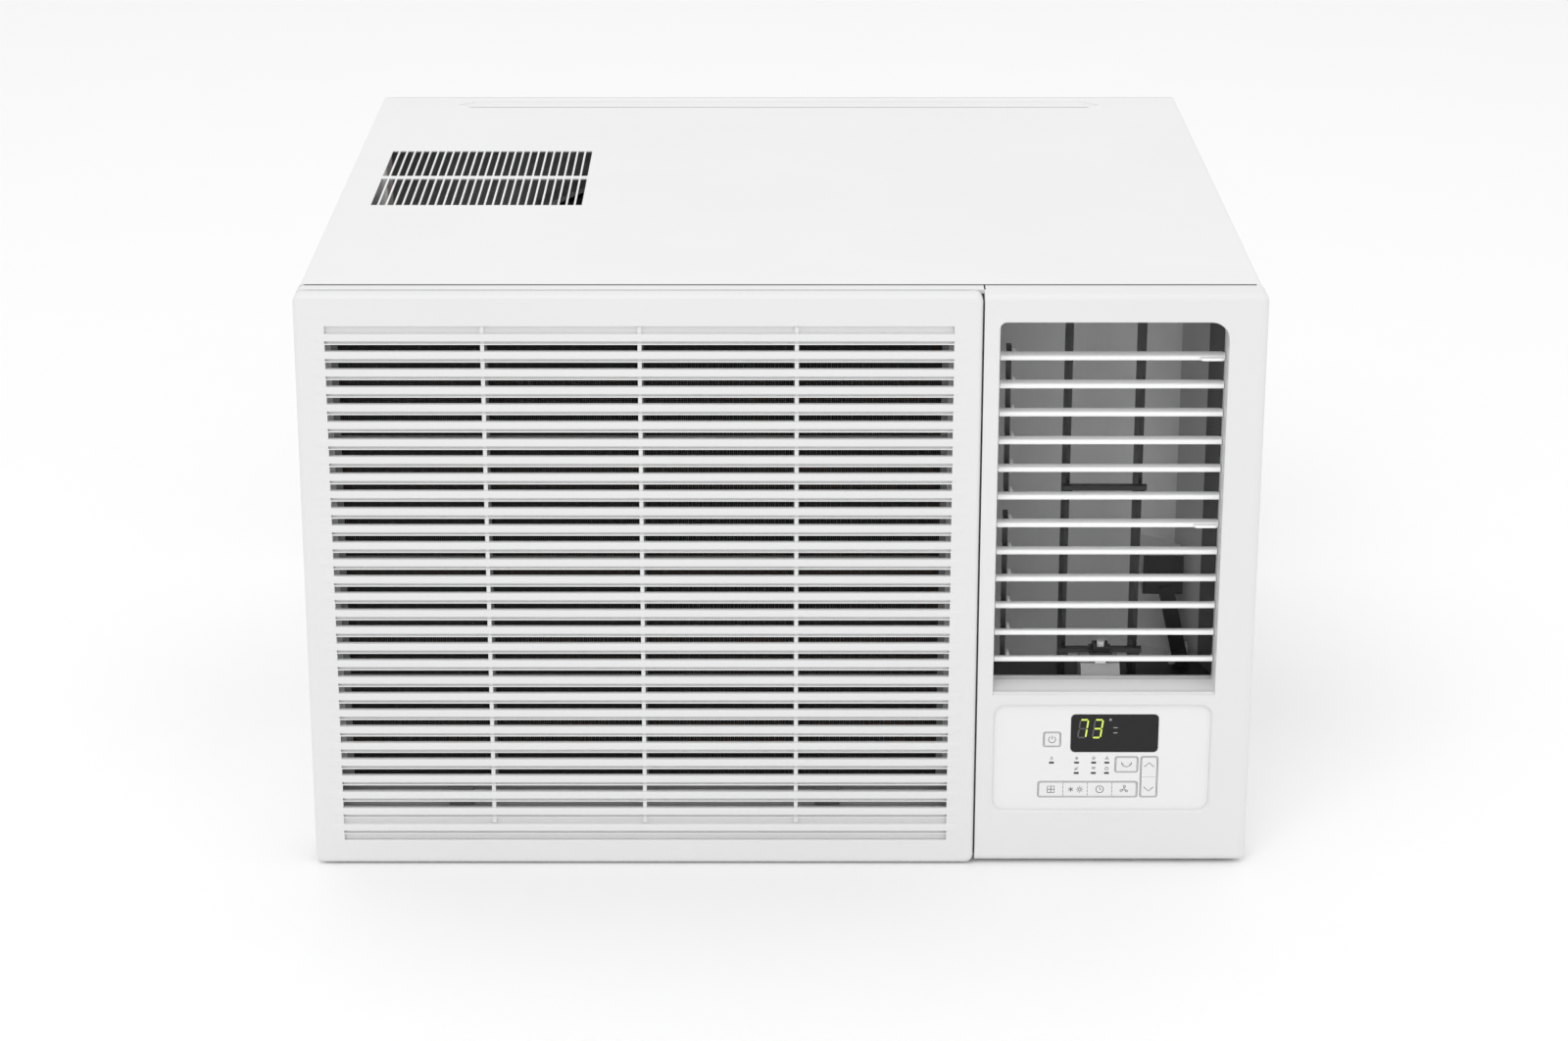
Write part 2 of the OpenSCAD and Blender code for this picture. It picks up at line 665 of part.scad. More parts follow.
// Openings in the plate: keys that stand side by side share one.
key_openings = [power_cell, swing_cell, [key_row_x, key_row_z, key_row_w, key_h],
    [temp_x, key_row_z, temp_w, temp_z1 - key_row_z]];
// The indicator lenses: middles in the plane of the plate.
lens_x = [189.7, 200.6, 209.1];
lens_z = [62.4, 69.6];
lens_spots = concat([[173.6, lens_z[1]]], [for (x = lens_x, z = lens_z) [x, z]]);
lens_w = 3.2;
lens_h = 1.4;

module control_plate() color([0.95, 0.95, 0.95]) difference() {
    box([plate_x0 - 3, plate_front + 0.05, plate_z0 - 3],
        [plate_x1 + 3, plate_front + plate_t, plate_z1 + 3]);
    soft_plate(window_x0, window_z0, window_x1, window_z1, [3, 3, 3, 3], plate_front - 1,
        plate_front + plate_t + 1);
    for (c = key_openings)
        box([c[0], plate_front - 1, c[1]], [c[0] + c[2], plate_front + plate_t + 1, c[1] + c[3]]);
    for (s = lens_spots)
        box([s[0] - lens_w / 2, plate_front - 1, s[1] - lens_h / 2],
            [s[0] + lens_w / 2, plate_front + plate_t + 1, s[1] + lens_h / 2]);
}

module display_window() color([0.1, 0.1, 0.11])
    soft_plate(window_x0 + 0.1, window_z0 + 0.1, window_x1 - 0.1, window_z1 - 0.1, [3, 3, 3, 3],
        plate_front - 0.2, plate_front + plate_t);

module indicator_lenses() color([0.2, 0.2, 0.2]) for (s = lens_spots)
    box([s[0] - lens_w / 2 + 0.1, plate_front, s[1] - lens_h / 2 + 0.1],
        [s[0] + lens_w / 2 - 0.1, plate_front + plate_t, s[1] + lens_h / 2 - 0.1]);

// A key cap with the stem that reaches its switch.
module key(cell) color([0.96, 0.96, 0.96]) {
    gap = key_gap;
    box([cell[0] + gap, plate_front - 0.25, cell[1] + gap],
        [cell[0] + cell[2] - gap, plate_front + plate_t - 0.4, cell[1] + cell[3] - gap]);
    box([cell[0] + cell[2] / 2 - 1.5, plate_front + 1.5, cell[1] + cell[3] / 2 - 1.5],
        [cell[0] + cell[2] / 2 + 1.5, board_y - 3.9, cell[1] + cell[3] / 2 + 1.5]);
}

// Circuit board behind the plate, with the push switches and the display module.
module display_board() color([0.1, 0.3, 0.15]) {
    box([155, board_y, 41], [256, board_y + 1.6, 106]);
    for (c = key_cells)
        box([c[0] + c[2] / 2 - 2.2, board_y - 3.2, c[1] + c[3] / 2 - 2.2],
            [c[0] + c[2] / 2 + 2.2, board_y, c[1] + c[3] / 2 + 2.2]);
    box([window_x0 + 3, board_y - 5, window_z0 + 3], [window_x1 - 3, board_y, window_z1 - 3]);
}

module control_box() color(zinc) difference() {
    box([out_x0 + 0.5, cab_y + 6, 31], [cab_x - 14, -112, 80]);
    box([out_x0 + 1.7, cab_y + 5, 32.2], [cab_x - 15.2, -113.2, 78.8]);
}

// Capacitor of the two motors, lying in the control box.
module run_capacitor() color(fin_alloy) {
    rod_x(150, 224, -140, 54, 20);
    for (y = [-150, -130]) box([223, y - 3, 53.5], [236, y + 3, 54.5]);
}

module cord_grommet() color(dark_plastic) difference() {
    union() {
        rod_x(x_right - 7, x_right, cord_y, cord_z, cord_r);
        rod_x(x_right - 7, x_right - wall - 0.1, cord_y, cord_z, cord_r + 2.4);
    }
    rod_x(x_right - 8, x_right + 1, cord_y, cord_z, cord_r - 1.8);
}

// ---------------------------------------------------------------- chassis

module base_pan() color(zinc) {
    difference() {
        union() {
            difference() {
                box([-pan_x, pan_y0, pan_z], [pan_x, pan_y1, pan_rim]);
                box([pan_t - pan_x, pan_y0 + pan_t, pan_z + pan_t],
                    [pan_x - pan_t, pan_y1 - pan_t, pan_rim + 1]);
            }
            // Runners pressed down to slide on the cabinet floor.
            for (x = [-220, 220]) box([x - 15, pan_y0 + 10, 1.3], [x + 15, pan_y1 - 10, pan_z + 0.5]);
            // Drain spout through the rear rim.
            rod_y(pan_y1 - 6, y_rear - 0.6, drain_x, drain_z, drain_r + 2);
            // Studs under the compressor's feet.
            for (a = comp_feet) rod_z(pan_z + 0.5, 53, comp_x + comp_foot_r * cos(a),
                comp_y + comp_foot_r * sin(a), 3);
        }
        rod_y(pan_y1 - 7, y_rear + 1, drain_x, drain_z, drain_r);
    }
}

// Wall between the indoor and the outdoor side.
module bulkhead() color(zinc) difference() {
    union() {
        box([-pan_x + 2, bulkhead_y, pan_z + pan_t], [pan_x - 2, bulkhead_y + sheet, cab_top - 4]);
        box([-pan_x + 2, bulkhead_y, cab_top - 5], [pan_x - 2, bulkhead_y + 16, cab_top - 4]);
    }
    rod_y(bulkhead_y - 1, bulkhead_y + 2, fan_x, fan_z, 25);
    box([98, bulkhead_y - 1, 28], [132, bulkhead_y + 2, 76]);
}

// A finned coil block with its end plates and the bends that join its tubes.
tube_r = 3.5;
function row_z(z0, z1, i, n) = z0 + (i + 0.5) * (z1 - z0) / n;
module finned_coil(x0, x1, y0, y1, z0, z1, pairs) {
    mid = (y0 + y1) / 2;
    color(fin_alloy) box([x0, y0, z0], [x1, y1, z1]);
    color(zinc) {
        box([x0 - 1.2, y0, z0], [x0, y1, z1]);
        box([x1, y0, z0], [x1 + 1.2, y1, z1]);
    }
    color(copper) for (i = [0:pairs - 1], side = [0, 1]) {
        z = row_z(z0, z1, i, pairs);
        x = side == 0 ? x0 - 1.2 : x1 + 1.2;
        for (y = [mid - 10, mid + 10])
            translate([x, y, z]) rotate([side == 0 ? -90 : 90, 0, 0]) rotate([0, 0, side == 0 ? 90 : -90])
                rotate_extrude(angle = 180) translate([6, 0]) circle(r = tube_r);
    }
}

module evaporator_coil()
    finned_coil(x_left + 30, 92, cab_y + 6, -208, 32, 352, 11);
module condenser_coil()
    finned_coil(-pan_x + 16, pan_x - 16, condenser_y0, condenser_y1, pan_z + pan_t + 0.1, 366, 14);

// Plate with the blower's inlet ring, and the shelf that the coil stands on.
module blower_orifice() color(grey_foam) difference() {
    union() {
        box([x_left + 16, orifice_y, pan_z + pan_t + 0.1], [110, orifice_y + 2.5, 366]);
        box([x_left + 16, pan_y0 + pan_t + 0.3, pan_z + pan_t + 0.1], [110, orifice_y + 1, 31.9]);
        rod_y(orifice_y, orifice_y + 4.6, fan_x, fan_z, inlet_r + 3);
    }
    box([x_left + 20, pan_y0 + pan_t + 4, 12], [106, orifice_y - 3, 26]);
    rod_y(orifice_y - 1, orifice_y + 6, fan_x, fan_z, inlet_r);
}

// The scroll's radius grows evenly from the tongue, clockwise seen from the room.
function scroll_arc(grow) = [for (i = [0:20])
    let (t = i / 20, a = -45 - scroll_sweep * t,
        r = scroll_start_r + (scroll_end_r - scroll_start_r) * t + grow)
    [fan_x + r * cos(a), fan_z + r * sin(a)]];
function scroll_inside() = concat([[duct_x0, throat_z]], scroll_arc(0), [[duct_x0, fan_z + scroll_end_r]]);
function scroll_outside() = concat([[duct_x0 - duct_wall - 0.2, throat_z - scroll_wall]],
    scroll_arc(scroll_wall),
    [[duct_x0 - duct_wall - 0.2, fan_z + scroll_end_r + scroll_wall]]);
module scroll_housing() color(grey_foam) difference() {
    front_plate(scroll_y0, scroll_y1) polygon(scroll_outside());
    front_plate(scroll_y0 - 1, scroll_y1 - 2.5) polygon(scroll_inside());
    rod_y(scroll_y1 - 5, scroll_y1 + 1, fan_x, fan_z, 25);
}

// Electric heater in the scroll's throat: a steel frame with finned rods.
module heater_element() color(zinc) {
    x = 98;
    for (z = [127, 343]) box([x - 12, scroll_y0 + 3, z], [x + 12, scroll_y1 - 5, z + 2]);
    for (y = [scroll_y0 + 3, scroll_y1 - 7]) box([x - 12, y, 129], [x + 12, y + 2, 343]);
    for (k = [0:3], side = [-1, 1]) {
        y = scroll_y0 + 18 + k * 15;
        rod_z(129, 343, x + side * 6, y, 3);
    }
}

module blower_wheel() color(dark_plastic) {
    depth = 72;
    y0 = -192;
    difference() {
        union() {
            rod_y(y0 + depth, y0 + depth + 2, fan_x, fan_z, blower_r);
            rod_y(y0 + depth - 22, y0 + depth + 1, fan_x, fan_z, 14);
        }
        rod_y(y0 + depth - 30, y0 + depth + 3, fan_x, fan_z, shaft_r + 0.03);
    }
    difference() {
        rod_y(y0, y0 + 3, fan_x, fan_z, blower_r);
        rod_y(y0 - 1, y0 + 4, fan_x, fan_z, blower_r - 14);
    }
    // Forward-curved blades, drawn flat.
    for (i = [0:blower_blades - 1])
        translate([fan_x, 0, fan_z]) rotate([0, 360 * i / blower_blades, 0])
            translate([blower_r - 7.5, 0, 0])
            rotate([0, 28, 0]) box([-6, y0 + 1, -0.6], [6, y0 + depth + 1, 0.6]);
}

module motor_shaft() color([0.75, 0.75, 0.76]) {
    rod_y(-186, 201, fan_x, fan_z, shaft_r);
    rod_y(motor_y0 + 16, motor_y1 - 16, fan_x, fan_z, 27);
}

module fan_motor() color([0.3, 0.31, 0.32]) {
    // Housing in two drawn cups, with a bearing bore at each end.
    difference() {
        rod_y(motor_y0, motor_y1, fan_x, fan_z, motor_r);
        rod_y(motor_y0 + 4, motor_y1 - 4, fan_x, fan_z, motor_r - 3);
        rod_y(motor_y0 - 1, motor_y1 + 1, fan_x, fan_z, shaft_r + 0.06);
    }
    // Wound stator.
    difference() {
        rod_y(motor_y0 + 14, motor_y1 - 14, fan_x, fan_z, motor_r - 2.5);
        rod_y(motor_y0 + 10, motor_y1 - 10, fan_x, fan_z, 28);
    }
}

module motor_bracket() color(zinc) {
    difference() {
        box([fan_x - 74, motor_y0 - 2.5, fan_z - 74], [fan_x + 74, motor_y0 - 0.1, fan_z + 74]);
        rod_y(motor_y0 - 4, motor_y0 + 1, fan_x, fan_z, 25);
        for (x = [-1, 1], z = [-1, 1])
            rod_y(motor_y0 - 4, motor_y0 + 1, fan_x + x * 66, fan_z + z * 66, 3.1);
    }
    // Feet that stand the plate off the bulkhead.
    for (x = [-1, 1], z = [-1, 1]) difference() {
        rod_y(bulkhead_y + sheet, motor_y0 - 2, fan_x + x * 66, fan_z + z * 66, 7);
        rod_y(bulkhead_y, motor_y0, fan_x + x * 66, fan_z + z * 66, 3.1);
    }
}

// Hexagon-headed screws that hold the motor bracket.
module bracket_screws() color(zinc) for (x = [-1, 1], z = [-1, 1])
    translate([fan_x + x * 66, 0, fan_z + z * 66]) {
        rod_y(bulkhead_y + sheet + 0.2, motor_y0 + 0.1, 0, 0, 3);
        translate([0, motor_y0 + 4, 0]) rotate([90, 0, 0]) cylinder(h = 4, r = 5.8, $fn = 6);
    }

module condenser_fan() color(dark_plastic) {
    y0 = 164;
    difference() {
        rod_y(y0, y0 + 34, fan_x, fan_z, 30);
        rod_y(y0 - 1, y0 + 36, fan_x, fan_z, shaft_r + 0.03);
    }
    // Slinger ring, which throws condensate on to the hot coil.
    difference() {
        rod_y(y0 + 12, y0 + 28, fan_x, fan_z, fan_r);
        rod_y(y0 + 11, y0 + 29, fan_x, fan_z, fan_r - 4);
    }
    for (i = [0:fan_blades - 1])
        translate([fan_x, y0 + 18, fan_z]) rotate([0, 360 * i / fan_blades, 0]) rotate([26, 0, 0])
            front_plate(-1.3, 1.3) polygon([[26, -16], [70, -34], [fan_r - 9, -40], [fan_r - 2.4, 0],
                [fan_r - 9, 30],
                [70, 24], [26, 14]]);
}

module fan_shroud() color(grey_foam) difference() {
    union() {
        box([-pan_x + 4, shroud_y1 - 2.5, pan_z + pan_t + 0.1], [272, shroud_y1, cab_top - 6]);
        rod_y(shroud_y0, shroud_y1, fan_x, fan_z, fan_r + 7);
    }
    rod_y(shroud_y0 - 1, shroud_y1 + 1, fan_x, fan_z, fan_r + 4);
}

// Compressor shell with its feet, and the accumulator strapped beside it.
comp_feet = [90, 210, 330];
comp_foot_r = 72;
module compressor() color([0.12, 0.12, 0.13]) {
    translate([comp_x, comp_y, 0]) rotate([0, 0, 50]) rotate_extrude()
        polygon([[0, 44], [comp_r - 12, 44], [comp_r - 4, 50], [comp_r - 1.5, 58], [comp_r - 1.5, 84],
            [comp_r, 86],
            [comp_r, 200], [comp_r - 1.5, 202], [comp_r - 1.5, 222], [comp_r - 6, 236],
                [comp_r - 20, 246], [18, 250],
            [0, 250]]);
    translate([comp_x, comp_y, 249]) cylinder(h = 15, r = 16);
    // Base plate with its three lugs.
    difference() {
        union() {
            rod_z(42, 46, comp_x, comp_y, comp_r + 4);
            for (a = comp_feet) translate([comp_x, comp_y, 42]) rotate([0, 0, a])
                box([0, -15, 0], [comp_foot_r + 13, 15, 4]);
        }
        for (a = comp_feet) rod_z(41, 47, comp_x + comp_foot_r * cos(a), comp_y + comp_foot_r * sin(a), 8);
    }
    translate([accumulator_x, comp_y, 0]) rotate([0, 0, 120]) rotate_extrude()
        polygon([[0, 78], [10, 79], [22, 88], [24, 96], [24, 200], [22, 208], [10, 217], [0, 218]]);
    // Strap between the two.
    box([accumulator_x + 23, comp_y - 6, 150], [comp_x - comp_r + 2, comp_y + 6, 164]);
}

// Rubber feet, grooved for the lugs.
module compressor_mounts() color(dark_plastic) for (a = comp_feet)
    translate([comp_x + comp_foot_r * cos(a), comp_y + comp_foot_r * sin(a), 0]) difference() {
        union() {
            rod_z(pan_z + pan_t + 0.1, 41.9, 0, 0, 12);
            rod_z(41, 47, 0, 0, 7.8);
            rod_z(46.1, 50, 0, 0, 11);
        }
        rod_z(pan_z, 51, 0, 0, 3.2);
    }

// Copper lines between the two coils and the compressor.
coil_end = 93.4;
condenser_end = pan_x - 16 + 1.4;
suction_line = bent([[coil_end, -228, 61], [116, -228, 61], [116, -130, 48], [114, -60, 48], [108, 20, 80],
    [108, 20, 262], [108, comp_y, 262], [108, comp_y, 218.4]], 12);
discharge_line = bent([[comp_x, comp_y, 264.4], [comp_x, comp_y, 300], [230, 140, 322], [284, 190, 340.2],
    [284, 242, 340.2], [condenser_end, 242, 340.2]], 6);
liquid_line = bent([[condenser_end, 242, 56.8], [284, 242, 56.8], [284, 190, 56.8], [272, -50, 62],
    [118, -84, 64],
    [118, -150, 80], [118, -228, 90.2], [coil_end, -228, 90.2]], 6);
module refrigerant_lines() color(copper) {
    swept_tube(suction_line, 4.7);
    swept_tube(discharge_line, 3.2);
    swept_tube(liquid_line, 3);
}

// ---------------------------------------------------------------- show one node or all

outer_cabinet();
base_pan();
bulkhead();
front_panel();
control_plate();
display_window();
indicator_lenses();
display_board();
outlet_duct();
swing_motor();
swing_bracket();
evaporator_coil();
blower_orifice();
scroll_housing();
heater_element();
fan_motor();
motor_bracket();
fan_shroud();
condenser_coil();
compressor();
compressor_mounts();
refrigerant_lines();
control_box();
run_capacitor();
cord_grommet();
bracket_screws();
inlet_grille();
filter_frame();
filter_mesh();
for (i = [0:louvre_count - 1])
    louvre(i);
louvre_link(0);  // upper_louvre_link
louvre_link(group_size);  // lower_louvre_link
swing_vane(out_mid - vane_gap / 2);  // swing_vane_left
swing_vane(out_mid + vane_gap / 2);  // swing_vane_right
vane_tie_bar();
vane_drive_link();
swing_crank();
vent_lever();
key(power_cell);  // power_key
key(key_row_cell(0));  // filter_key
key(key_row_cell(1));  // mode_key
key(key_row_cell(2));  // timer_key
key(key_row_cell(3));  // fan_speed_key
key(swing_cell);  // swing_key
key(temp_up_cell);  // temp_up_key
key(temp_down_cell);  // temp_down_key
blower_wheel();
condenser_fan();
motor_shaft();
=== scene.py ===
# %% [markdown]
# # A window air conditioner, finished for the studio
#
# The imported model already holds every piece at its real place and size, and it says which
# piece moves with which. This lesson keeps that frame. It models again the pieces whose looks
# need soft edges or fine detail, and it gives each piece a procedural finish.

# %% Load the frame
import json
from math import cos, pi, radians, sin

import bmesh
import bpy
from mathutils import Matrix, Vector


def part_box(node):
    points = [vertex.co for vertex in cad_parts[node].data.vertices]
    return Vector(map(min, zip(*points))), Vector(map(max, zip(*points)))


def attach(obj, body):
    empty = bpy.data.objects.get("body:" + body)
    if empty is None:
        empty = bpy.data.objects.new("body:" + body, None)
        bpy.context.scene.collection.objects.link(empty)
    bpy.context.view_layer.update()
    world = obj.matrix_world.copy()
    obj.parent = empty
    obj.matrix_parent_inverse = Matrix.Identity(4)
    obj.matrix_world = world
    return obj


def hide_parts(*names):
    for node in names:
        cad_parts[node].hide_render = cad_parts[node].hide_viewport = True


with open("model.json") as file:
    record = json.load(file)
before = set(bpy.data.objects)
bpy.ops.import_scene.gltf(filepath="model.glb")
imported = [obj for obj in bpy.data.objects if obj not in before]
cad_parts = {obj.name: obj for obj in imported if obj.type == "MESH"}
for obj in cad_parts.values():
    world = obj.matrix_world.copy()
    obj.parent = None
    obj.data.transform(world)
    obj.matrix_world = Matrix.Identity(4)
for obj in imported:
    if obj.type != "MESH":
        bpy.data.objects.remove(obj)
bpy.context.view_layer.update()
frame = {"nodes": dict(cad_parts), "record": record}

# %% [markdown]
# ## Tools of the bench
#
# Everything below is thought of in millimetres, as a drawing would be, while Blender counts in
# metres. A few helpers carry the habits that keep a model clean: select one thing only, put a
# piece's place into its mesh, cut a mesh at a stated plane, and pick faces or edges by where
# they are. X runs to the right, Y runs outdoors and Z runs up.

# %% Units, boxes and selection
MM = 0.001
X, Y, Z = Vector((1, 0, 0)), Vector((0, 1, 0)), Vector((0, 0, 1))


def span(node):
    """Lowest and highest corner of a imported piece, in millimetres."""
    low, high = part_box(node)
    return low / MM, high / MM


def choose(*things):
    """Selects these objects and nothing else; the last one is active."""
    bpy.ops.object.select_all(action="DESELECT")
    for thing in things:
        thing.select_set(True)
    bpy.context.view_layer.objects.active = things[-1]


def settle(thing, name):
    """Moves an object's place, turn and scale into its mesh, and names it."""
    choose(thing)
    bpy.ops.object.transform_apply(location=True, rotation=True, scale=True)
    thing.name = thing.data.name = name
    return thing


def join(name, *parts):
    """Makes one object of several."""
    choose(*parts)
    bpy.ops.object.join()
    whole = bpy.context.object
    whole.name = whole.data.name = name
    return whole


def copy_at(thing, name, shift=(0, 0, 0), turn=None):
    """A copy with a mesh of its own, turned about the origin and then shifted."""
    twin = thing.copy()
    twin.data = thing.data.copy()
    twin.data.transform(Matrix.Translation(Vector(shift) * MM) @ (turn or Matrix()))
    bpy.context.collection.objects.link(twin)
    twin.name = twin.data.name = name
    return twin


# %% Starting shapes
def block(name, low, high):
    """A box between two corners."""
    low, high = Vector(low) * MM, Vector(high) * MM
    bpy.ops.object.select_all(action="DESELECT")
    bpy.ops.mesh.primitive_cube_add(size=1, location=(low + high) / 2)
    bpy.context.object.scale = high - low
    return settle(bpy.context.object, name)


def rod(name, start, end, radius, sides=20):
    """A round bar from one point to another."""
    start, end = Vector(start) * MM, Vector(end) * MM
    along = end - start
    bpy.ops.object.select_all(action="DESELECT")
    bpy.ops.mesh.primitive_cylinder_add(
        vertices=sides, radius=radius * MM, depth=along.length, location=(start + end) / 2,
        rotation=along.to_track_quat("Z", "Y").to_euler())
    return settle(bpy.context.object, name)


def ring(name, centre, axis, radius, tube, sides=32, round_sides=10):
    """A torus round an axis."""
    bpy.ops.object.select_all(action="DESELECT")
    bpy.ops.mesh.primitive_torus_add(
        major_segments=sides, minor_segments=round_sides, major_radius=radius * MM,
        minor_radius=tube * MM, location=Vector(centre) * MM,
        rotation=Vector(axis).to_track_quat("Z", "Y").to_euler())
    return settle(bpy.context.object, name)


# %% Picking and cutting in edit mode
def pick(mode, test):
    """In edit mode, selects the faces, edges or points whose middle (in mm) passes the test."""
    bpy.ops.mesh.select_mode(type=mode)
    bpy.ops.mesh.select_all(action="DESELECT")
    mesh = bmesh.from_edit_mesh(bpy.context.object.data)
    items = {"VERT": mesh.verts, "EDGE": mesh.edges, "FACE": mesh.faces}[mode]
    for item in items:
        points = [item] if mode == "VERT" else item.verts
        middle = sum((p.co for p in points), Vector()) / len(points) / MM
        if test(middle, item):
            item.select_set(True)
    mesh.select_flush_mode()
    bmesh.update_edit_mesh(bpy.context.object.data)


def edit(thing):
    """Opens one object in edit mode."""
    choose(thing)
    bpy.ops.object.mode_set(mode="EDIT")


def done():
    bpy.ops.object.mode_set(mode="OBJECT")


def slice_at(axis, *places):
    """Cuts new edges where planes cross the mesh that is open in edit mode."""
    for place in places:
        bpy.ops.mesh.select_all(action="SELECT")
        bpy.ops.mesh.bisect(plane_co=axis * place * MM, plane_no=axis)


def roll(width, segments=5, **settings):
    """Rounds the edges that are selected in edit mode."""
    bpy.ops.mesh.bevel(offset=width * MM, segments=segments, profile=0.5, **settings)


def nudge(x, y, z):
    """Moves what is selected in edit mode."""
    bpy.ops.transform.translate(value=(x * MM, y * MM, z * MM))


def near(a, b, reach=0.05):
    return abs(a - b) < reach


def along(edge, axis, straight=0.999):
    """True if an edge runs along an axis."""
    way = (edge.verts[1].co - edge.verts[0].co).normalized()
    return abs(way.dot(axis)) > straight


def lies_at(edge, axis, place):
    """True if both ends of an edge are at one place along an axis."""
    return all(near(v.co.dot(axis) / MM, place) for v in edge.verts)


# %% Finishing a mesh
def apply(thing, kind, **settings):
    """Adds a modifier, sets it and applies it."""
    choose(thing)
    step = thing.modifiers.new(kind.lower(), kind)
    for key, value in settings.items():
        setattr(step, key, value)
    bpy.ops.object.modifier_apply(modifier=step.name)
    return thing


def repeat(thing, step, count):
    """Copies of a piece at even steps, in one mesh."""
    return apply(thing, "ARRAY", count=count, use_relative_offset=False, use_constant_offset=True,
                 constant_offset_displace=step * MM)


def mend(thing):
    """Merges doubles and turns all faces outwards."""
    edit(thing)
    bpy.ops.mesh.select_all(action="SELECT")
    bpy.ops.mesh.remove_doubles(threshold=0.01 * MM)
    bpy.ops.mesh.normals_make_consistent(inside=False)
    done()
    return thing


def shade(thing, angle=35):
    """Smooth shading that keeps the large flat faces flat."""
    choose(thing)
    bpy.ops.object.shade_smooth_by_angle(angle=radians(angle))
    return apply(thing, "WEIGHTED_NORMAL", keep_sharp=True)


def soften(thing, width, segments=2, angle=40):
    """Rounds every sharp edge by a small radius, as a mould or a press leaves it."""
    apply(thing, "BEVEL", width=width * MM, segments=segments, limit_method="ANGLE",
          angle_limit=radians(angle))
    return shade(thing)


def cut(thing, cutter, operation="DIFFERENCE"):
    """Takes one closed shape out of another, or joins the two."""
    apply(thing, "BOOLEAN", object=cutter, operation=operation, solver="EXACT")
    bpy.data.objects.remove(cutter)
    return thing


# %% [markdown]
# ## Flat shapes with round corners
#
# Plates, openings and printed lines are easiest to draw as flat outlines. A filled curve can
# hold holes and round its own edges, and it becomes a mesh before it is stood upright in the
# plane of the front.

# %% Outlines, plates and lines of ink
def soft_outline(x0, z0, x1, z1, radii, steps=6):
    """A rectangle with its own radius at each corner, anticlockwise from the lower left."""
    corners = ((x0, z0, 1, 1, 180), (x1, z0, -1, 1, 270), (x1, z1, -1, -1, 0), (x0, z1, 1, -1, 90))
    points = []
    for (x, z, right, up, start), r in zip(corners, radii):
        turns = range(steps + 1) if r else range(1)
        for k in turns:
            a = radians(start + 90 * k / steps)
            points.append((x + right * r + r * cos(a), z + up * r + r * sin(a)))
    return points


def circle_outline(x, z, r, steps=24, first=0, sweep=360):
    """Points round a circle, or round a part of one."""
    return [(x + r * cos(radians(first + sweep * k / steps)), z + r * sin(radians(first + sweep * k / steps)))
            for k in range(steps + (sweep < 360))]


def drawn(name, lines, closed, flat, lying=False, **settings):
    """A curve of straight stretches, made a mesh and stood upright unless it is to lie flat."""
    curve = bpy.data.curves.new(name, "CURVE")
    curve.dimensions = "2D" if flat else "3D"
    if flat:
        curve.fill_mode = "BOTH"
    for key, value in settings.items():
        setattr(curve, key, value)
    for points in lines:
        spline = curve.splines.new("POLY")
        spline.points.add(len(points) - 1)
        for point, (x, z) in zip(spline.points, points):
            point.co = (x * MM, z * MM, 0, 1)
        spline.use_cyclic_u = closed
    thing = bpy.data.objects.new(name, curve)
    bpy.context.collection.objects.link(thing)
    choose(thing)
    bpy.ops.object.convert(target="MESH")
    thing = bpy.context.object
    thing.rotation_euler = (0 if lying else pi / 2, 0, 0)
    return thing


def plate(name, outlines, y0, y1):
    """A flat plate with straight edges; outlines after the first are holes."""
    thing = drawn(name, outlines, True, True, extrude=(y1 - y0) / 2 * MM)
    thing.location.y = (y0 + y1) / 2 * MM
    return mend(settle(thing, name))


def slab(name, outlines, z0, z1):
    """The same, lying flat: the outlines are in X and Y."""
    thing = drawn(name, outlines, True, True, lying=True, extrude=(z1 - z0) / 2 * MM)
    thing.location.z = (z0 + z1) / 2 * MM
    return mend(settle(thing, name))


def ink(name, lines, y, width=0.3, closed=False):
    """Thin printed lines that lie on a surface at Y."""
    thing = drawn(name, lines, closed, False, bevel_depth=width / 2 * MM, bevel_resolution=1)
    thing.scale.z = 0.25
    thing.location.y = y * MM
    return settle(thing, name)


# %% [markdown]
# ## Who moves with whom
#
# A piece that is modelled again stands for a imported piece: it rides on the same body, hides the
# packed one and names the slot that its finish comes from. One helper says all three.

# %% Stand-ins
BODY_OF = {node: body for body, nodes in frame["record"]["behaviour"]["bodies"].items() for node in nodes}
SLOT_OF = {part["node"]: part["material_slot"] for part in frame["record"]["subparts"]}
finish_of = {}


def stands_for(thing, *nodes):
    """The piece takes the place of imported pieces, with their motion and finish."""
    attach(thing, BODY_OF[nodes[0]])
    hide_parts(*nodes)
    finish_of[thing.name] = SLOT_OF[nodes[0]]
    return thing


def goes_with(thing, node, finish):
    """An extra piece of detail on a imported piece, with a finish of its own."""
    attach(thing, BODY_OF[node])
    finish_of[thing.name] = finish
    return thing


# %% [markdown]
# ## Camera
#
# The camera looks at the front from a little above the unit, with a long lens, so that the
# front stays almost square while the top of the casing falls away behind it.

# %% Camera
CAMERA_PLACE, CAMERA_TILT = (-0.0064, -2.4549, 0.9875), 70.92
LENS, SENSOR, WIDTH_SHIFT, FAR_END = 84.5, 36, 0.0085, 50
bpy.ops.object.camera_add(location=CAMERA_PLACE, rotation=(radians(CAMERA_TILT), 0, 0))
camera = bpy.context.object
camera.name = "camera"
camera.data.lens = LENS
camera.data.sensor_width = SENSOR
camera.data.shift_x = WIDTH_SHIFT
camera.data.clip_end = FAR_END
bpy.context.scene.camera = camera
print("camera", tuple(round(v, 3) for v in camera.location))

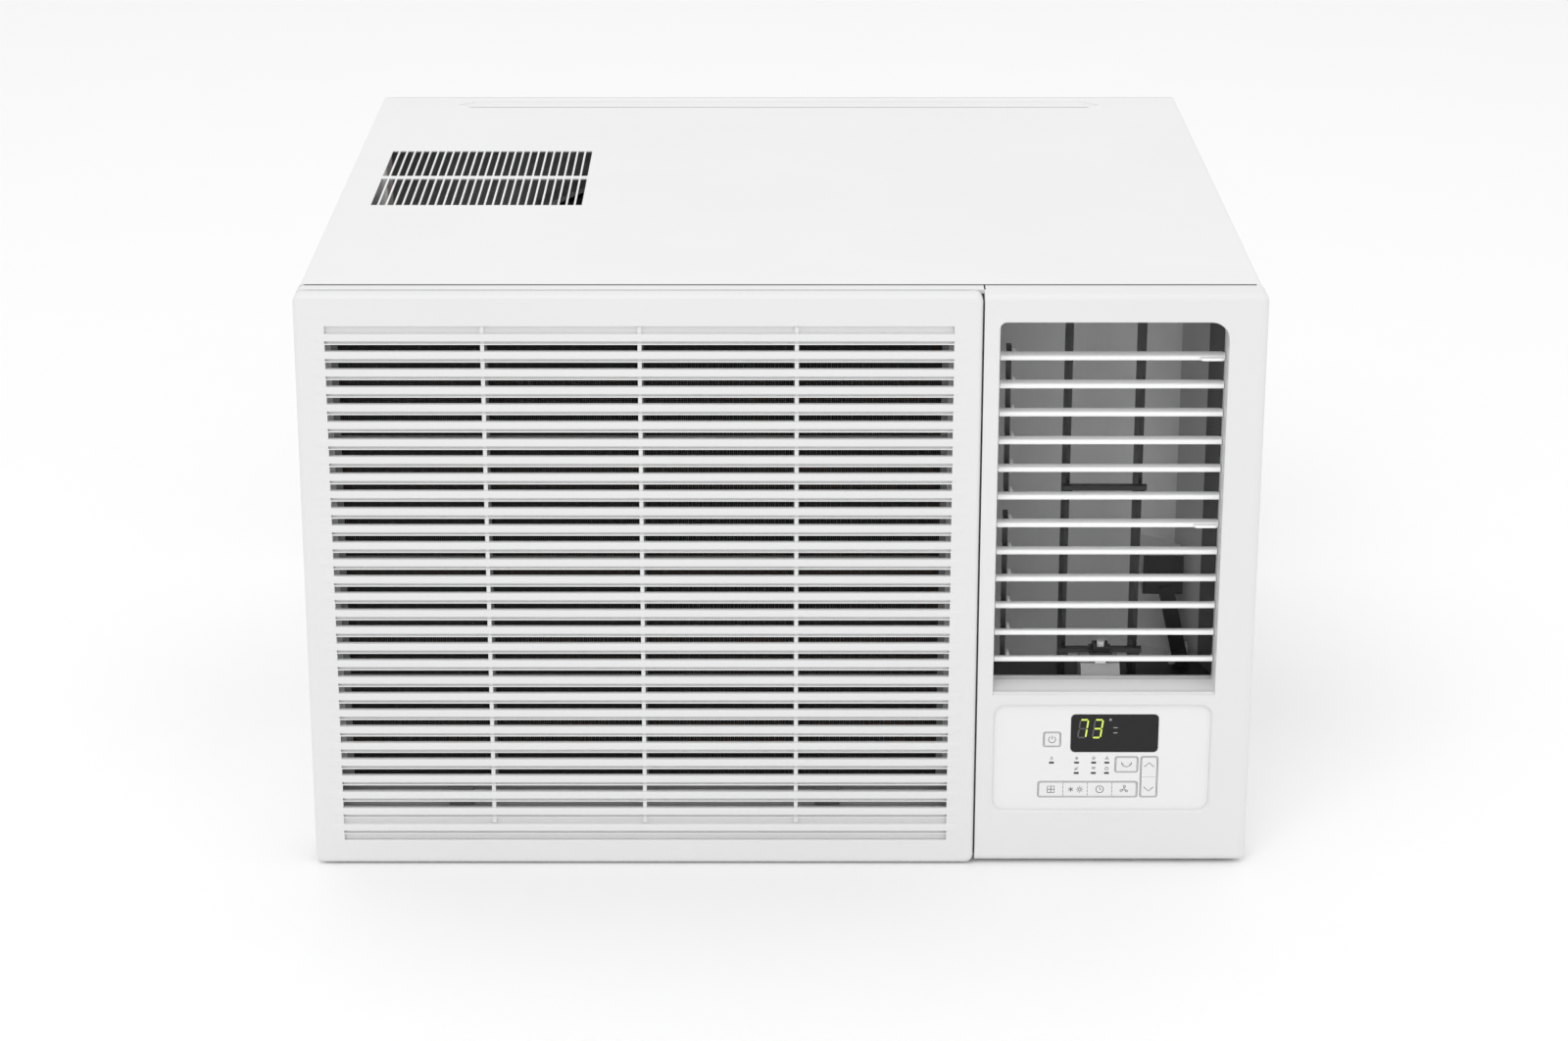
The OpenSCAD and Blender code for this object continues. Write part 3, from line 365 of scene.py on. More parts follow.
# %% [markdown]
# ## Inlet grille
#
# The grille is one thin moulding: a shallow door with a rounded rim, a wide opening, and thirty
# bars across it. Each bar has a crest with a soft upper edge, a groove below it and a small lip
# at the bottom, and its ends sink into the border so that the ribs fade out. The bar is modelled
# once and copied. The door starts as a box whose back is taken off, and the opening is cut with
# planes, which keeps all its edges straight.

# %% Grille sizes
GRILLE_LOW, GRILLE_HIGH = span("inlet_grille")
DOOR_T, DOOR_CORNER, DOOR_RIM = 2, 5, 3.2
SLOTS, PITCH, SLOT_H = 28, 11.31, 4.9
FIRST_SLOT = GRILLE_HIGH.z - 33.6
FIELD_X0, FIELD_W = GRILLE_LOW.x + 19, 387.6
FIELD_X1 = FIELD_X0 + FIELD_W
BORDER_Y = GRILLE_LOW.y + 0.7
FADE = 14
PIN_R, PIN_L = 1.2, 5.6


def slot_z(n):
    """Height of the middle of a slot; slot 0 is the first open one."""
    return FIRST_SLOT - n * PITCH


# %% The door with its opening
def grille_door():
    door = block("door", (GRILLE_LOW.x, BORDER_Y, GRILLE_LOW.z), GRILLE_HIGH)
    edit(door)
    pick("FACE", lambda m, f: f.normal.y > 0.9)
    bpy.ops.mesh.delete(type="ONLY_FACE")
    pick("EDGE", lambda m, e: along(e, Y))
    roll(DOOR_CORNER)
    pick("EDGE", lambda m, e: lies_at(e, Y, BORDER_Y))
    roll(DOOR_RIM, 4, clamp_overlap=True)
    top, bottom = slot_z(-1) + SLOT_H / 2, slot_z(SLOTS + 1) - SLOT_H / 2
    slice_at(X, FIELD_X0, FIELD_X1)
    slice_at(Z, bottom, top)
    pick("FACE", lambda m, f: f.normal.y < -0.9 and FIELD_X0 < m.x < FIELD_X1 and bottom < m.z < top)
    bpy.ops.mesh.delete(type="FACE")
    done()
    return apply(door, "SOLIDIFY", thickness=DOOR_T * MM, offset=-1, use_even_offset=True)


# %% One bar
BAR_D, BAR_EDGE = 3.4, 1.1
LIP_DROP, LIP_H, LIP_BACK = 0.6, 0.7, 0.7
GROOVE_H, GROOVE_D = 1.9, 2.4
END_SINK = 1.1


def grille_bar():
    """The bar under slot 0: a crest, a groove and a lip below it, and ends that sink away."""
    mid = slot_z(0) - PITCH / 2
    top, bottom = mid + (PITCH - SLOT_H) / 2, mid - (PITCH - SLOT_H) / 2 - LIP_DROP
    front = GRILLE_LOW.y
    bar = block("bar", (FIELD_X0 - FADE, front, bottom), (FIELD_X1 + FADE, front + BAR_D, top))
    edit(bar)
    slice_at(Z, bottom + LIP_H, bottom + LIP_H + GROOVE_H)
    slice_at(X, FIELD_X0, FIELD_X1)
    pick("FACE", lambda m, f: f.normal.y < -0.9 and bottom + LIP_H < m.z < bottom + LIP_H + GROOVE_H
         and FIELD_X0 < m.x < FIELD_X1)
    bpy.ops.mesh.extrude_region_move(TRANSFORM_OT_translate={"value": (0, GROOVE_D * MM, 0)})
    pick("VERT", lambda m, v: near(m.y, front) and m.z < bottom + LIP_H + 0.1)
    nudge(0, LIP_BACK, 0)
    pick("VERT", lambda m, v: m.y < front + 1 and (near(m.x, FIELD_X0 - FADE) or near(m.x, FIELD_X1 + FADE)))
    nudge(0, END_SINK, 0)
    pick("EDGE", lambda m, e: near(m.z, top) and m.y < front + 1.3 and along(e, X, 0.9))
    roll(BAR_EDGE, 3)
    done()
    return bar


# %% All bars, uprights and pins
BLIND_D, BLIND_H = 3.3, 6.8
UPRIGHT_W, UPRIGHT_D0, UPRIGHT_D1 = 2.4, 1.6, 8
PIN_Y, PIN_Z = GRILLE_LOW.y + 9.6, GRILLE_HIGH.z - 3.2


def inlet_grille():
    low, high = GRILLE_LOW, GRILLE_HIGH
    parts = [grille_door()]
    bar = grille_bar()
    for n in range(-1, SLOTS + 1):
        parts.append(copy_at(bar, "bar", (0, 0, slot_z(n) - slot_z(0))))
    bpy.data.objects.remove(bar)
    for n in (-1, SLOTS, SLOTS + 1):
        parts.append(block("blind_groove", (FIELD_X0 - 1, low.y + BLIND_D, slot_z(n) - BLIND_H / 2),
                           (FIELD_X1 + 1, low.y + BLIND_D + 1, slot_z(n) + BLIND_H / 2)))
    for k in (1, 2, 3):
        x = FIELD_X0 + k * FIELD_W / 4
        parts.append(block("upright", (x - UPRIGHT_W / 2, low.y + UPRIGHT_D0, slot_z(SLOTS) - 2),
                           (x + UPRIGHT_W / 2, low.y + UPRIGHT_D1, slot_z(-1) + 2)))
    for x in (low.x + 1, high.x - 1 - PIN_L):
        parts.append(rod("pin", (x, PIN_Y, PIN_Z), (x + PIN_L, PIN_Y, PIN_Z), PIN_R))
    return stands_for(shade(join("inlet_grille_moulding", *parts)), "inlet_grille")


grille = inlet_grille()
print("grille:", len(grille.data.polygons), "faces")

# %% [markdown]
# ## Front panel
#
# Behind the grille the panel is a plate with a wide window for the air, and to the right it
# comes forward as a smooth shell that frames the outlet and the controls. The shell is a box
# without its back whose outer corners are rolled over; the openings are cut with closed shapes
# that have round corners. A sloped sill runs from the outlet's floor down to the face.

# %% Panel sizes
PANEL_LOW, PANEL_HIGH = span("front_panel")
FACE_Y = PANEL_LOW.y
PANEL_BACK = PANEL_HIGH.y
WALL = 2.5
SPLIT_X = GRILLE_HIGH.x + 1
OUTLET_W, OUTLET_H, SILL_DROP = 141, 241.5, 4.5
OUT_X0 = SPLIT_X + 9.8
OUT_X1 = OUT_X0 + OUTLET_W
OUT_Z1 = PANEL_HIGH.z - 18
OUT_Z0 = OUT_Z1 - OUTLET_H
SILL_Z = OUT_Z0 - SILL_DROP
OUTLET_CORNERS = (0, 0, 11, 4)
PLATE_LOW, PLATE_HIGH = span("control_plate")
RECESS = (PLATE_LOW.x + 3, PLATE_LOW.z + 3, PLATE_HIGH.x - 3, PLATE_HIGH.z - 3)
RECESS_R = 7
RIGHT_FOOT = 2
CUT_Y0, CUT_Y1 = FACE_Y - 5, FACE_Y + 8


# %% The shell with the outlet and the recess for the controls
def inside(m, x0, z0, x1, z1, reach=0.3):
    return x0 - reach < m.x < x1 + reach and z0 - reach < m.z < z1 + reach


def outlet_shell():
    shell = block("shell", (SPLIT_X, FACE_Y, RIGHT_FOOT), (PANEL_HIGH.x, PANEL_BACK, PANEL_HIGH.z))
    edit(shell)
    pick("FACE", lambda m, f: f.normal.y > 0.9)
    bpy.ops.mesh.delete(type="ONLY_FACE")
    pick("EDGE", lambda m, e: along(e, Y) and m.x > SPLIT_X + 1)
    roll(5)
    pick("EDGE", lambda m, e: lies_at(e, Y, FACE_Y) and m.x > SPLIT_X + 1)
    roll(4.5)
    done()
    apply(shell, "SOLIDIFY", thickness=WALL * MM, offset=-1, use_even_offset=True)
    outlet = (OUT_X0, SILL_Z, OUT_X1, OUT_Z1)
    cut(shell, plate("outlet_cutter", [soft_outline(*outlet, OUTLET_CORNERS)], CUT_Y0, CUT_Y1))
    cut(shell, plate("recess_cutter", [soft_outline(*RECESS, (RECESS_R,) * 4)], CUT_Y0, CUT_Y1))
    edit(shell)
    for opening, width, segments in ((RECESS, 1.9, 4), (outlet, 1.1, 3)):
        pick("EDGE", lambda m, e: lies_at(e, Y, FACE_Y) and inside(m, *opening))
        roll(width, segments)
    done()
    return shell


# %% Collar, sill and rear plate
def collar_and_sill():
    """Walls round the outlet from the face to the back, and the sloped sill below it."""
    outer = soft_outline(OUT_X0 - WALL, SILL_Z - 1, OUT_X1 + WALL, OUT_Z1 + WALL, (0, 0, 12, 5))
    inner = soft_outline(OUT_X0, SILL_Z + 1.5, OUT_X1, OUT_Z1, OUTLET_CORNERS)
    collar = plate("collar", [outer, inner[::-1]], FACE_Y + 2, PANEL_BACK)
    sill = block("sill", (OUT_X0 - 1, FACE_Y + 0.4, SILL_Z - 2), (OUT_X1 + 1, PANEL_BACK - 6, OUT_Z0))
    edit(sill)
    pick("VERT", lambda m, v: near(m.y, FACE_Y + 0.4) and near(m.z, OUT_Z0))
    nudge(0, 0, SILL_Z - OUT_Z0)
    pick("EDGE", lambda m, e: along(e, X) and m.z > SILL_Z - 0.5)
    roll(1.2, 4)
    done()
    return [collar, sill]


PANEL_R = 5
AIR_Z0, CONTROLS_Z0 = 48, 32
RAIL_W, RAIL_Z0, RAIL_Z1, LIP_Z0, LIP_Z1 = 6, 40, 367, 66, 349
REST_Z0, REST_Z1 = 20, 45.6
SQUARE = (0, 0, 0, 0)


def rear_plate():
    """Plate behind the grille, its window for the air and its rim."""
    low, high = PANEL_LOW, PANEL_HIGH
    filter_low, filter_high = span("filter_frame")
    left, right = filter_low.x, filter_high.x
    way_in = soft_outline(left + 4, AIR_Z0, right - 4, filter_high.z + 3, SQUARE)
    outlet = soft_outline(OUT_X0, OUT_Z0, OUT_X1, OUT_Z1, OUTLET_CORNERS)
    controls = soft_outline(RECESS[0] - 5, CONTROLS_Z0, RECESS[2] + 5, RECESS[3] + 5, SQUARE)
    edge = soft_outline(low.x, low.z, high.x - 0.6, high.z, (PANEL_R,) * 4)
    openings = [way_in[::-1], outlet[::-1], controls[::-1]]
    parts = [plate("rear", [edge] + openings, PANEL_BACK - WALL, PANEL_BACK)]
    rim = [soft_outline(low.x, low.z, SPLIT_X + 1, high.z, (PANEL_R, 0, 0, PANEL_R)),
           soft_outline(low.x + WALL, low.z + WALL, SPLIT_X + 0.4, high.z - WALL, (3, 0, 0, 3))[::-1]]
    parts.append(plate("rim", rim, FACE_Y + 11.9, PANEL_BACK))
    guide_y, back = filter_low.y + 0.5, PANEL_BACK - WALL
    for x0, x1, lip0, lip1 in ((left - RAIL_W, left - 0.4, left - RAIL_W, left + 4),
                               (right + 0.4, right + RAIL_W, right - 4, right + RAIL_W)):
        parts.append(block("rail", (x0, guide_y, RAIL_Z0), (x1, back, RAIL_Z1)))
        parts.append(block("lip", (lip0, guide_y, LIP_Z0), (lip1, guide_y + 1.6, LIP_Z1)))
    parts.append(block("rest", (left - RAIL_W, guide_y + 3, REST_Z0), (right + RAIL_W, back, REST_Z1)))
    return parts


# %% The whole front panel
EAR_W, EAR_Y0, EAR_Y1 = 3.4, FACE_Y + 6, FACE_Y + 13
EAR_Z0, EAR_Z1 = GRILLE_HIGH.z - 5.2, GRILLE_HIGH.z - 1.4


def hinge_ears():
    """Two small ears that the grille hangs from."""
    return [block("ear", (x, EAR_Y0, EAR_Z0), (x + EAR_W, EAR_Y1, EAR_Z1))
            for x in (GRILLE_LOW.x + 3.6, GRILLE_HIGH.x - 7)]


def front_panel():
    shell = shade(outlet_shell())
    others = [soften(part, 0.35) for part in collar_and_sill() + rear_plate() + hinge_ears()]
    return stands_for(join("front_panel_moulding", *others, shell), "front_panel")


panel = front_panel()
print("front panel:", len(panel.data.polygons), "faces")

# %% [markdown]
# ## Louvre blades
#
# Each blade is a thin moulding with a round nose, a tapering tail, a pin at each end and a short
# arm that the link bar turns. Two of them carry a finger tab. The blade is modelled level, with
# and without its tab, and each of the twelve copies is turned about its own pins to the angle
# that it rests at. The pins and arms are copied level, so that the link bars hang upright.

# %% One level blade
FIRST_PIN = Vector((0, PANEL_LOW.y + 16.5, OUT_Z1 - 25.5))
LOUVRE_PITCH, BANK = 18.3, 6
CHORD, BLADE_T, TAIL = 13.5, 3.2, 0.4
BLADE_X0, BLADE_X1 = OUT_X0 + 1, OUT_X1 - 1
TAB_W, TAB_REACH = 15.1, 3.2
ARM_X, ARM_L, LINK_PIN_R = OUT_X0 + 9.1, 12.6, 1.1


def blade(with_tab):
    """A blade with its pin line on the X axis at the origin."""
    half, x0, x1 = CHORD / 2, BLADE_X0, BLADE_X1
    body = block("blade", (x0, -half, -BLADE_T / 2), (x1, half, BLADE_T / 2))
    edit(body)
    slice_at(Y, -half * 0.4, half * 0.2)
    pick("VERT", lambda m, v: near(m.y, half))
    bpy.ops.transform.resize(value=(1, 1, TAIL), center_override=(0, half * MM, 0))
    pick("EDGE", lambda m, e: along(e, X) and near(m.y, -half))
    roll(BLADE_T * 0.48)
    pick("EDGE", lambda m, e: along(e, Y) and (near(m.x, x0) or near(m.x, x1)))
    roll(0.3, 2)
    done()
    parts = [body]
    if with_tab:
        tab = block("tab", (x1 - 0.4 - TAB_W, -half - TAB_REACH, -1), (x1 - 0.4, -half + 2, 1))
        edit(tab)
        pick("EDGE", lambda m, e: along(e, Z) and near(m.y, -half - TAB_REACH))
        roll(2.4)
        done()
        parts.append(soften(tab, 0.5))
    return shade(join("blade_model", *parts))


def pins_and_arm():
    """What stays level at rest, so that the link bar hangs upright: both end pins and the arm."""
    x0, x1, edge = BLADE_X0, BLADE_X1, 0.4
    return shade(join("ends_model",
                      rod("pin", (OUT_X0 - 2.3, 0, 0), (x0 + 2, 0, 0), PIN_R, 16),
                      rod("pin", (x1 - 2, 0, 0), (OUT_X1 + 2.3, 0, 0), PIN_R, 16),
                      soften(block("collar", (x0 - 0.7, -2, -1.6), (x0 + 0.6, 2, 1.6)), edge),
                      soften(block("collar", (x1 - 0.6, -2, -1.6), (x1 + 0.7, 2, 1.6)), edge),
                      soften(block("arm", (ARM_X, 0, -1.3), (ARM_X + 2, ARM_L, 1.3)), edge),
                      rod("link_pin", (OUT_X0 + 5.2, 11, 0), (ARM_X + 0.5, 11, 0), LINK_PIN_R, 16)))


# %% Twelve blades at their angles
def rest_tilt(n):
    """The angles grow slowly down each bank, so that the air fans out."""
    return 0.9 * n if n < BANK else 3 + 2.2 * (n - BANK)


plain_blade, tab_blade, ends = blade(False), blade(True), pins_and_arm()
for n in range(2 * BANK):
    model = plain_blade if n % BANK else tab_blade
    place = FIRST_PIN - Z * LOUVRE_PITCH * n
    tilted = copy_at(model, "tilted", place, Matrix.Rotation(radians(-rest_tilt(n)), 4, "X"))
    stands_for(join(f"louvre_blade_{n + 1}", tilted, copy_at(ends, "level", place)), f"louvre_{n + 1}")
for model in (plain_blade, tab_blade, ends):
    bpy.data.objects.remove(model)
print("blades at", round(FIRST_PIN.y, 1), "mm, first one at height", round(FIRST_PIN.z, 1))

# %% [markdown]
# ## Control plate and its print
#
# The plate is a smooth white moulding with openings for the window, the keys and the small
# lamps. Around the keys runs a thin printed outline, with dashes between the keys that stand
# side by side. Words are left out: each key and lamp has a plain picture instead, made of short
# printed lines that lie a hair above the surface.

# %% Places on the plate
PLATE_Y = PLATE_LOW.y
KEYS = {name: span(name) for name in ("power_key", "filter_key", "mode_key", "timer_key", "fan_speed_key",
                                      "swing_key", "temp_up_key", "temp_down_key")}
KEY_GAP = 0.3
WINDOW_LOW, WINDOW_HIGH = span("display_window")
LAMP_X, LAMP_Z, LONE_LAMP_X = (189.7, 200.6, 209.1), (62.4, 69.6), 173.6
LAMP_W, LAMP_H = 3.2, 1.4
LAMPS = [(LONE_LAMP_X, LAMP_Z[1])] + [(x, z) for x in LAMP_X for z in LAMP_Z]


def group_box(*names):
    """Edges of the opening that a row of keys shares: x0, z0, x1, z1."""
    lows, highs = [KEYS[n][0] for n in names], [KEYS[n][1] for n in names]
    return (min(v.x for v in lows) - KEY_GAP, min(v.z for v in lows) - KEY_GAP,
            max(v.x for v in highs) + KEY_GAP, max(v.z for v in highs) + KEY_GAP)


KEY_GROUPS = [group_box("power_key"), group_box("swing_key"),
              group_box("filter_key", "mode_key", "timer_key", "fan_speed_key"),
              group_box("temp_up_key", "temp_down_key")]

# %% The plate
def window_outline(grow=0):
    return soft_outline(WINDOW_LOW.x - grow, WINDOW_LOW.z - grow, WINDOW_HIGH.x + grow,
                        WINDOW_HIGH.z + grow, (3, 3, 3, 3))


def lamp_outline(x, z):
    return soft_outline(x - LAMP_W / 2, z - LAMP_H / 2, x + LAMP_W / 2, z + LAMP_H / 2, (0.4,) * 4, 3)


holes = [soft_outline(*box, (1, 1, 1, 1), 3)[::-1] for box in KEY_GROUPS]
holes.append(window_outline(0.1)[::-1])
holes += [lamp_outline(x, z)[::-1] for x, z in LAMPS]
sheet_edge = soft_outline(PLATE_LOW.x, PLATE_LOW.z, PLATE_HIGH.x, PLATE_HIGH.z, (2, 2, 2, 2))
control_plate = plate("control_plate_moulding", [sheet_edge] + holes, PLATE_Y, PLATE_HIGH.y)
soften(control_plate, 0.12, segments=1)
stands_for(control_plate, "control_plate")
print("control plate:", len(control_plate.data.polygons), "faces")


# %% Keys with soft edges
CAP_DEPTH, CAP_R, STEM_HALF = 2.2, 0.9, 1.5
LEAST_GAP = 0.06


def reach_to_neighbour(name):
    """How far a cap may grow left, right, down and up, to nearly touch the next key of its group."""
    closer = KEY_GAP - LEAST_GAP
    low, high = KEYS[name]
    grow = [0, 0, 0, 0]
    for other, (a, b) in KEYS.items():
        if other != name and near(a.z, low.z) and near(b.z, high.z):
            grow[0] = max(grow[0], closer * near(b.x, low.x, 1))
            grow[1] = max(grow[1], closer * near(a.x, high.x, 1))
        if other != name and near(a.x, low.x) and near(b.x, high.x):
            grow[2] = max(grow[2], closer * near(b.z, low.z, 1))
            grow[3] = max(grow[3], closer * near(a.z, high.z, 1))
    return grow


def key_cap(name):
    low, high = KEYS[name]
    left, right, down, up = reach_to_neighbour(name)
    cap = block(name + "_cap", (low.x - left, low.y, low.z - down),
                (high.x + right, PLATE_Y + CAP_DEPTH, high.z + up))
    edit(cap)
    pick("EDGE", lambda m, e: along(e, Y) and not (left and m.x < low.x) and not (right and m.x > high.x)
         and not (down and m.z < low.z) and not (up and m.z > high.z))
    roll(CAP_R, 4)
    done()
    soften(cap, 0.12)
    middle = (low + high) / 2
    stem = block("stem", (middle.x - STEM_HALF, PLATE_Y + 1.5, middle.z - STEM_HALF),
                 (middle.x + STEM_HALF, high.y, middle.z + STEM_HALF))
    return stands_for(join(name + "_cap", soften(stem, 0.2), cap), name)


for name in KEYS:
    key_cap(name)
print("keys:", len(KEYS))

# %% Outlines and dashes round the keys
PROUD = 0.02
PRINT_Y = PLATE_Y - PROUD
KEY_INK, FRAME_INK, DASH_INK, LAMP_INK, WINDOW_INK = 0.46, 0.4, 0.34, 0.32, 0.35


def outline_of(box, grow=0.55):
    return soft_outline(box[0] - grow, box[1] - grow, box[2] + grow, box[3] + grow, (1.3,) * 4, 4)


frames = ink("key_outlines", [outline_of(box) for box in KEY_GROUPS], PRINT_Y, FRAME_INK, closed=True)
goes_with(frames, "control_plate", "print_grey")


# %% Pictures on the keys and over the lamps
def power_picture(x, z, s):
    return [circle_outline(x, z, s, 20, 125, 290), [(x, z + 0.1 * s), (x, z + 1.25 * s)]]


def grid_picture(x, z, s):
    edge = [(x - s, z - s), (x + s, z - s), (x + s, z + s), (x - s, z + s), (x - s, z - s)]
    return [edge, [(x, z - s), (x, z + s)], [(x - s, z), (x + s, z)]]


def clock_picture(x, z, s):
    return [circle_outline(x, z, s, 20) + [(x + s, z)], [(x, z + 0.6 * s), (x, z), (x + 0.5 * s, z)]]


def fan_picture(x, z, s):
    blades = []
    for k in range(3):
        a = radians(90 + 120 * k)
        reach = [(x + r * s * cos(a + t), z + r * s * sin(a + t))
                 for r, t in ((0.15, 0), (0.7, -0.45), (1.05, -0.25), (1.05, 0.15), (0.65, 0.2), (0.15, 0))]
        blades.append(reach)
    return blades


def rays(x, z, start, end, angles):
    """Straight strokes along these angles, from one distance to another."""
    return [[(x + r * cos(radians(a)), z + r * sin(radians(a))) for r in (start, end)] for a in angles]


def star_picture(x, z, s):
    return rays(x, z, -s, s, (90, 30, 150))


def sun_picture(x, z, s):
    disc = circle_outline(x, z, 0.45 * s, 14) + [(x + 0.45 * s, z)]
    return rays(x, z, 0.75 * s, 1.1 * s, range(0, 360, 45)) + [disc]


def leaf_picture(x, z, s):
    return [[(x - s, z - s), (x - 0.7 * s, z + 0.3 * s), (x + s, z + s), (x + 0.5 * s, z - 0.6 * s),
             (x - 0.6 * s, z - 0.6 * s)], [(x - s, z - s), (x + 0.3 * s, z + 0.3 * s)]]


def wave_picture(x, z, s):
    return [circle_outline(x, z - 0.8 * s, r * s, 8, 45, 90) for r in (0.7, 1.2, 1.7)]


def drop_picture(x, z, s):
    return [[(x, z + s)] + circle_outline(x, z - 0.3 * s, 0.6 * s, 14, 140, 260) + [(x, z + s)]]


def swing_picture(x, z, s):
    heads = [[(x + side * 1.3 * s, z + 0.75 * s), (x + side * 1.3 * s, z + 0.15 * s),
              (x + side * 0.7 * s, z + 0.2 * s)] for side in (-1, 1)]
    return [circle_outline(x, z + 0.9 * s, 1.5 * s, 12, 210, 120)] + heads


def mode_picture(x, z, s):
    return star_picture(x - 1.3 * s, z, 0.8 * s) + sun_picture(x + 1.3 * s, z, 0.9 * s)


def chevron(x, z, s):
    return [[(x - 1.2 * s, z - 0.5 * s), (x, z + 0.6 * s), (x + 1.2 * s, z - 0.5 * s)]]


# %% Print them
KEY_PICTURES = {"power_key": (power_picture, 2.2, 0), "filter_key": (grid_picture, 2.2, 0),
                "mode_key": (mode_picture, 2.2, 0), "timer_key": (clock_picture, 2.4, 0),
                "fan_speed_key": (fan_picture, 2.6, 0), "swing_key": (swing_picture, 2.4, 0),
                "temp_up_key": (chevron, 2.6, 1.5), "temp_down_key": (chevron, -2.6, -1.5)}
for name, (picture, size, lift) in KEY_PICTURES.items():
    low, high = KEYS[name]
    middle = (low + high) / 2
    lines = picture(middle.x, middle.z + lift, size)
    goes_with(ink(name + "_picture", lines, low.y - PROUD, KEY_INK), name, "print_grey")

DASH_L, DASH_STEP = 1.1, 2.5
row_x0, row_z0, row_x1 = KEY_GROUPS[2][:3]
dashes = []
for k in (1, 2, 3):
    x = row_x0 + k * (row_x1 - row_x0) / 4
    dashes += [[(x, z), (x, z + DASH_L)] for z in (row_z0 + 0.7 + DASH_STEP * i for i in range(4))]
lamp_pictures = [drop_picture, leaf_picture, star_picture, wave_picture, sun_picture, clock_picture,
                 fan_picture]
MARK_RISE, MARK_SIZE = 3.1, 1.15
marks = []
for (x, z), picture in zip(LAMPS, lamp_pictures):
    marks += picture(x, z + MARK_RISE, MARK_SIZE)
goes_with(ink("lamp_pictures", marks, PRINT_Y, LAMP_INK), "control_plate", "print_grey")
row_of_dashes = ink("key_row_dashes", dashes, KEYS["mode_key"][0].y - PROUD, DASH_INK)
goes_with(row_of_dashes, "control_plate", "print_grey")
print("pictures:", len(KEY_PICTURES) + len(LAMPS))

# %% [markdown]
# ## Display
#
# The smoked window shows two figures of seven segments each. All segments show faintly, and the
# lit ones glow green-yellow. The figures lean a little. Each segment is a flat bar with pointed
# ends, set into the front of the window so that it stands a hair proud.

# %% The window
window = plate("display_window_pane", [window_outline()], WINDOW_LOW.y, WINDOW_HIGH.y)
stands_for(soften(window, 0.25), "display_window")

# %% Figures
SEGMENTS = {"a": (0, 1, False), "b": (0.5, 0.5, True), "c": (0.5, -0.5, True), "d": (0, -1, False),
            "e": (-0.5, -0.5, True), "f": (-0.5, 0.5, True), "g": (0, 0, False)}
LIT_SEGMENTS = {7: "abc", 3: "abcdg"}
FIGURE_W, FIGURE_H, STROKE, LEAN = 5.0, 6.1, 1.05, 0.13
SEGMENT_GAP = 0.45
FIGURE_AT = {193.2: 7, 202.6: 3}
FIGURE_Z = 93.2


def segment(name, x, z, length, upright):
    """A flat bar with pointed ends, leaning with the figure."""
    tip = STROKE / 2
    points = [(-length / 2, 0), (-length / 2 + tip, tip), (length / 2 - tip, tip), (length / 2, 0),
              (length / 2 - tip, -tip), (-length / 2 + tip, -tip)]
    if upright:
        points = [(-b, a) for a, b in points]
    points = [(x + a + LEAN * (z - FIGURE_Z + b), z + b) for a, b in points]
    return plate(name, [points], WINDOW_LOW.y - 0.06, WINDOW_LOW.y + 0.1)


lit, unlit = [], []
for x, figure in FIGURE_AT.items():
    for letter, (across, up, upright) in SEGMENTS.items():
        length = (FIGURE_H if upright else FIGURE_W) - SEGMENT_GAP
        part = segment("segment", x + across * FIGURE_W, FIGURE_Z + up * FIGURE_H, length, upright)
        (lit if letter in LIT_SEGMENTS[figure] else unlit).append(part)
goes_with(join("lit_segments", *lit), "display_window", "lit_segment")
goes_with(join("unlit_segments", *unlit), "display_window", "dark_segment")
DEGREE_X, DEGREE_Z, DEGREE_R = 210.6, 99.4, 0.55
BAR_X, BAR_L, BAR_HEIGHTS = 212.6, 2.6, (93.9, 90.3)
degree = circle_outline(DEGREE_X, DEGREE_Z, DEGREE_R, 12) + [(DEGREE_X + DEGREE_R, DEGREE_Z)]
bars = [[(BAR_X, z), (BAR_X + BAR_L, z)] for z in BAR_HEIGHTS]
window_marks = ink("window_marks", [degree] + bars, WINDOW_LOW.y - PROUD, WINDOW_INK)
goes_with(window_marks, "display_window", "window_print")
print("segments:", len(lit), "lit of", len(lit) + len(unlit))

# %% One lamp lit
LAMP_PLAY = 0.15
lamp_x, lamp_z = LAMPS[2]
half_w, half_h = LAMP_W / 2 - LAMP_PLAY, LAMP_H / 2 - LAMP_PLAY
lamp = block("cool_lamp", (lamp_x - half_w, PLATE_Y - 0.04, lamp_z - half_h),
             (lamp_x + half_w, PLATE_Y + 0.3, lamp_z + half_h))
goes_with(soften(lamp, 0.2), "indicator_lenses", "lit_segment")

# %% [markdown]
# ## Lining of the outlet duct
#
# The duct itself is pale foam and keeps its imported shape. A black tray over its floor as far as
# the bend is painted shade, and two darker strips on the side that turns the air are painted shade,
# darkest at that side. Tray and strips follow the same quarter of an ellipse as the foam, a hair
# inside it.

# %% The curve of the duct
DUCT_LOW, DUCT_HIGH = span("outlet_duct")
DUCT_WALL = 2
DUCT_FRONT = DUCT_LOW.y + 1
DUCT_X0, DUCT_X1 = DUCT_LOW.x + DUCT_WALL, DUCT_HIGH.x - DUCT_WALL
DUCT_FLOOR, DUCT_ROOF = DUCT_LOW.z + DUCT_WALL, DUCT_HIGH.z - DUCT_WALL
BEND_Y, BEND_D = -215, 93
SHADE_LINING_T, SHADE_LINING_GAP, SHADE_TRAY_GAP, SHADE_LINING_STEPS = 0.8, 0.25, 0.3, 24


def duct_point(share, inside):
    """A point along the bend, from 0 at the left end to 1 where the straight side starts."""
    a = pi / 2 * share
    return (DUCT_X0 + (DUCT_X1 - DUCT_X0 - inside) * sin(a), BEND_Y + (BEND_D - inside) * cos(a))


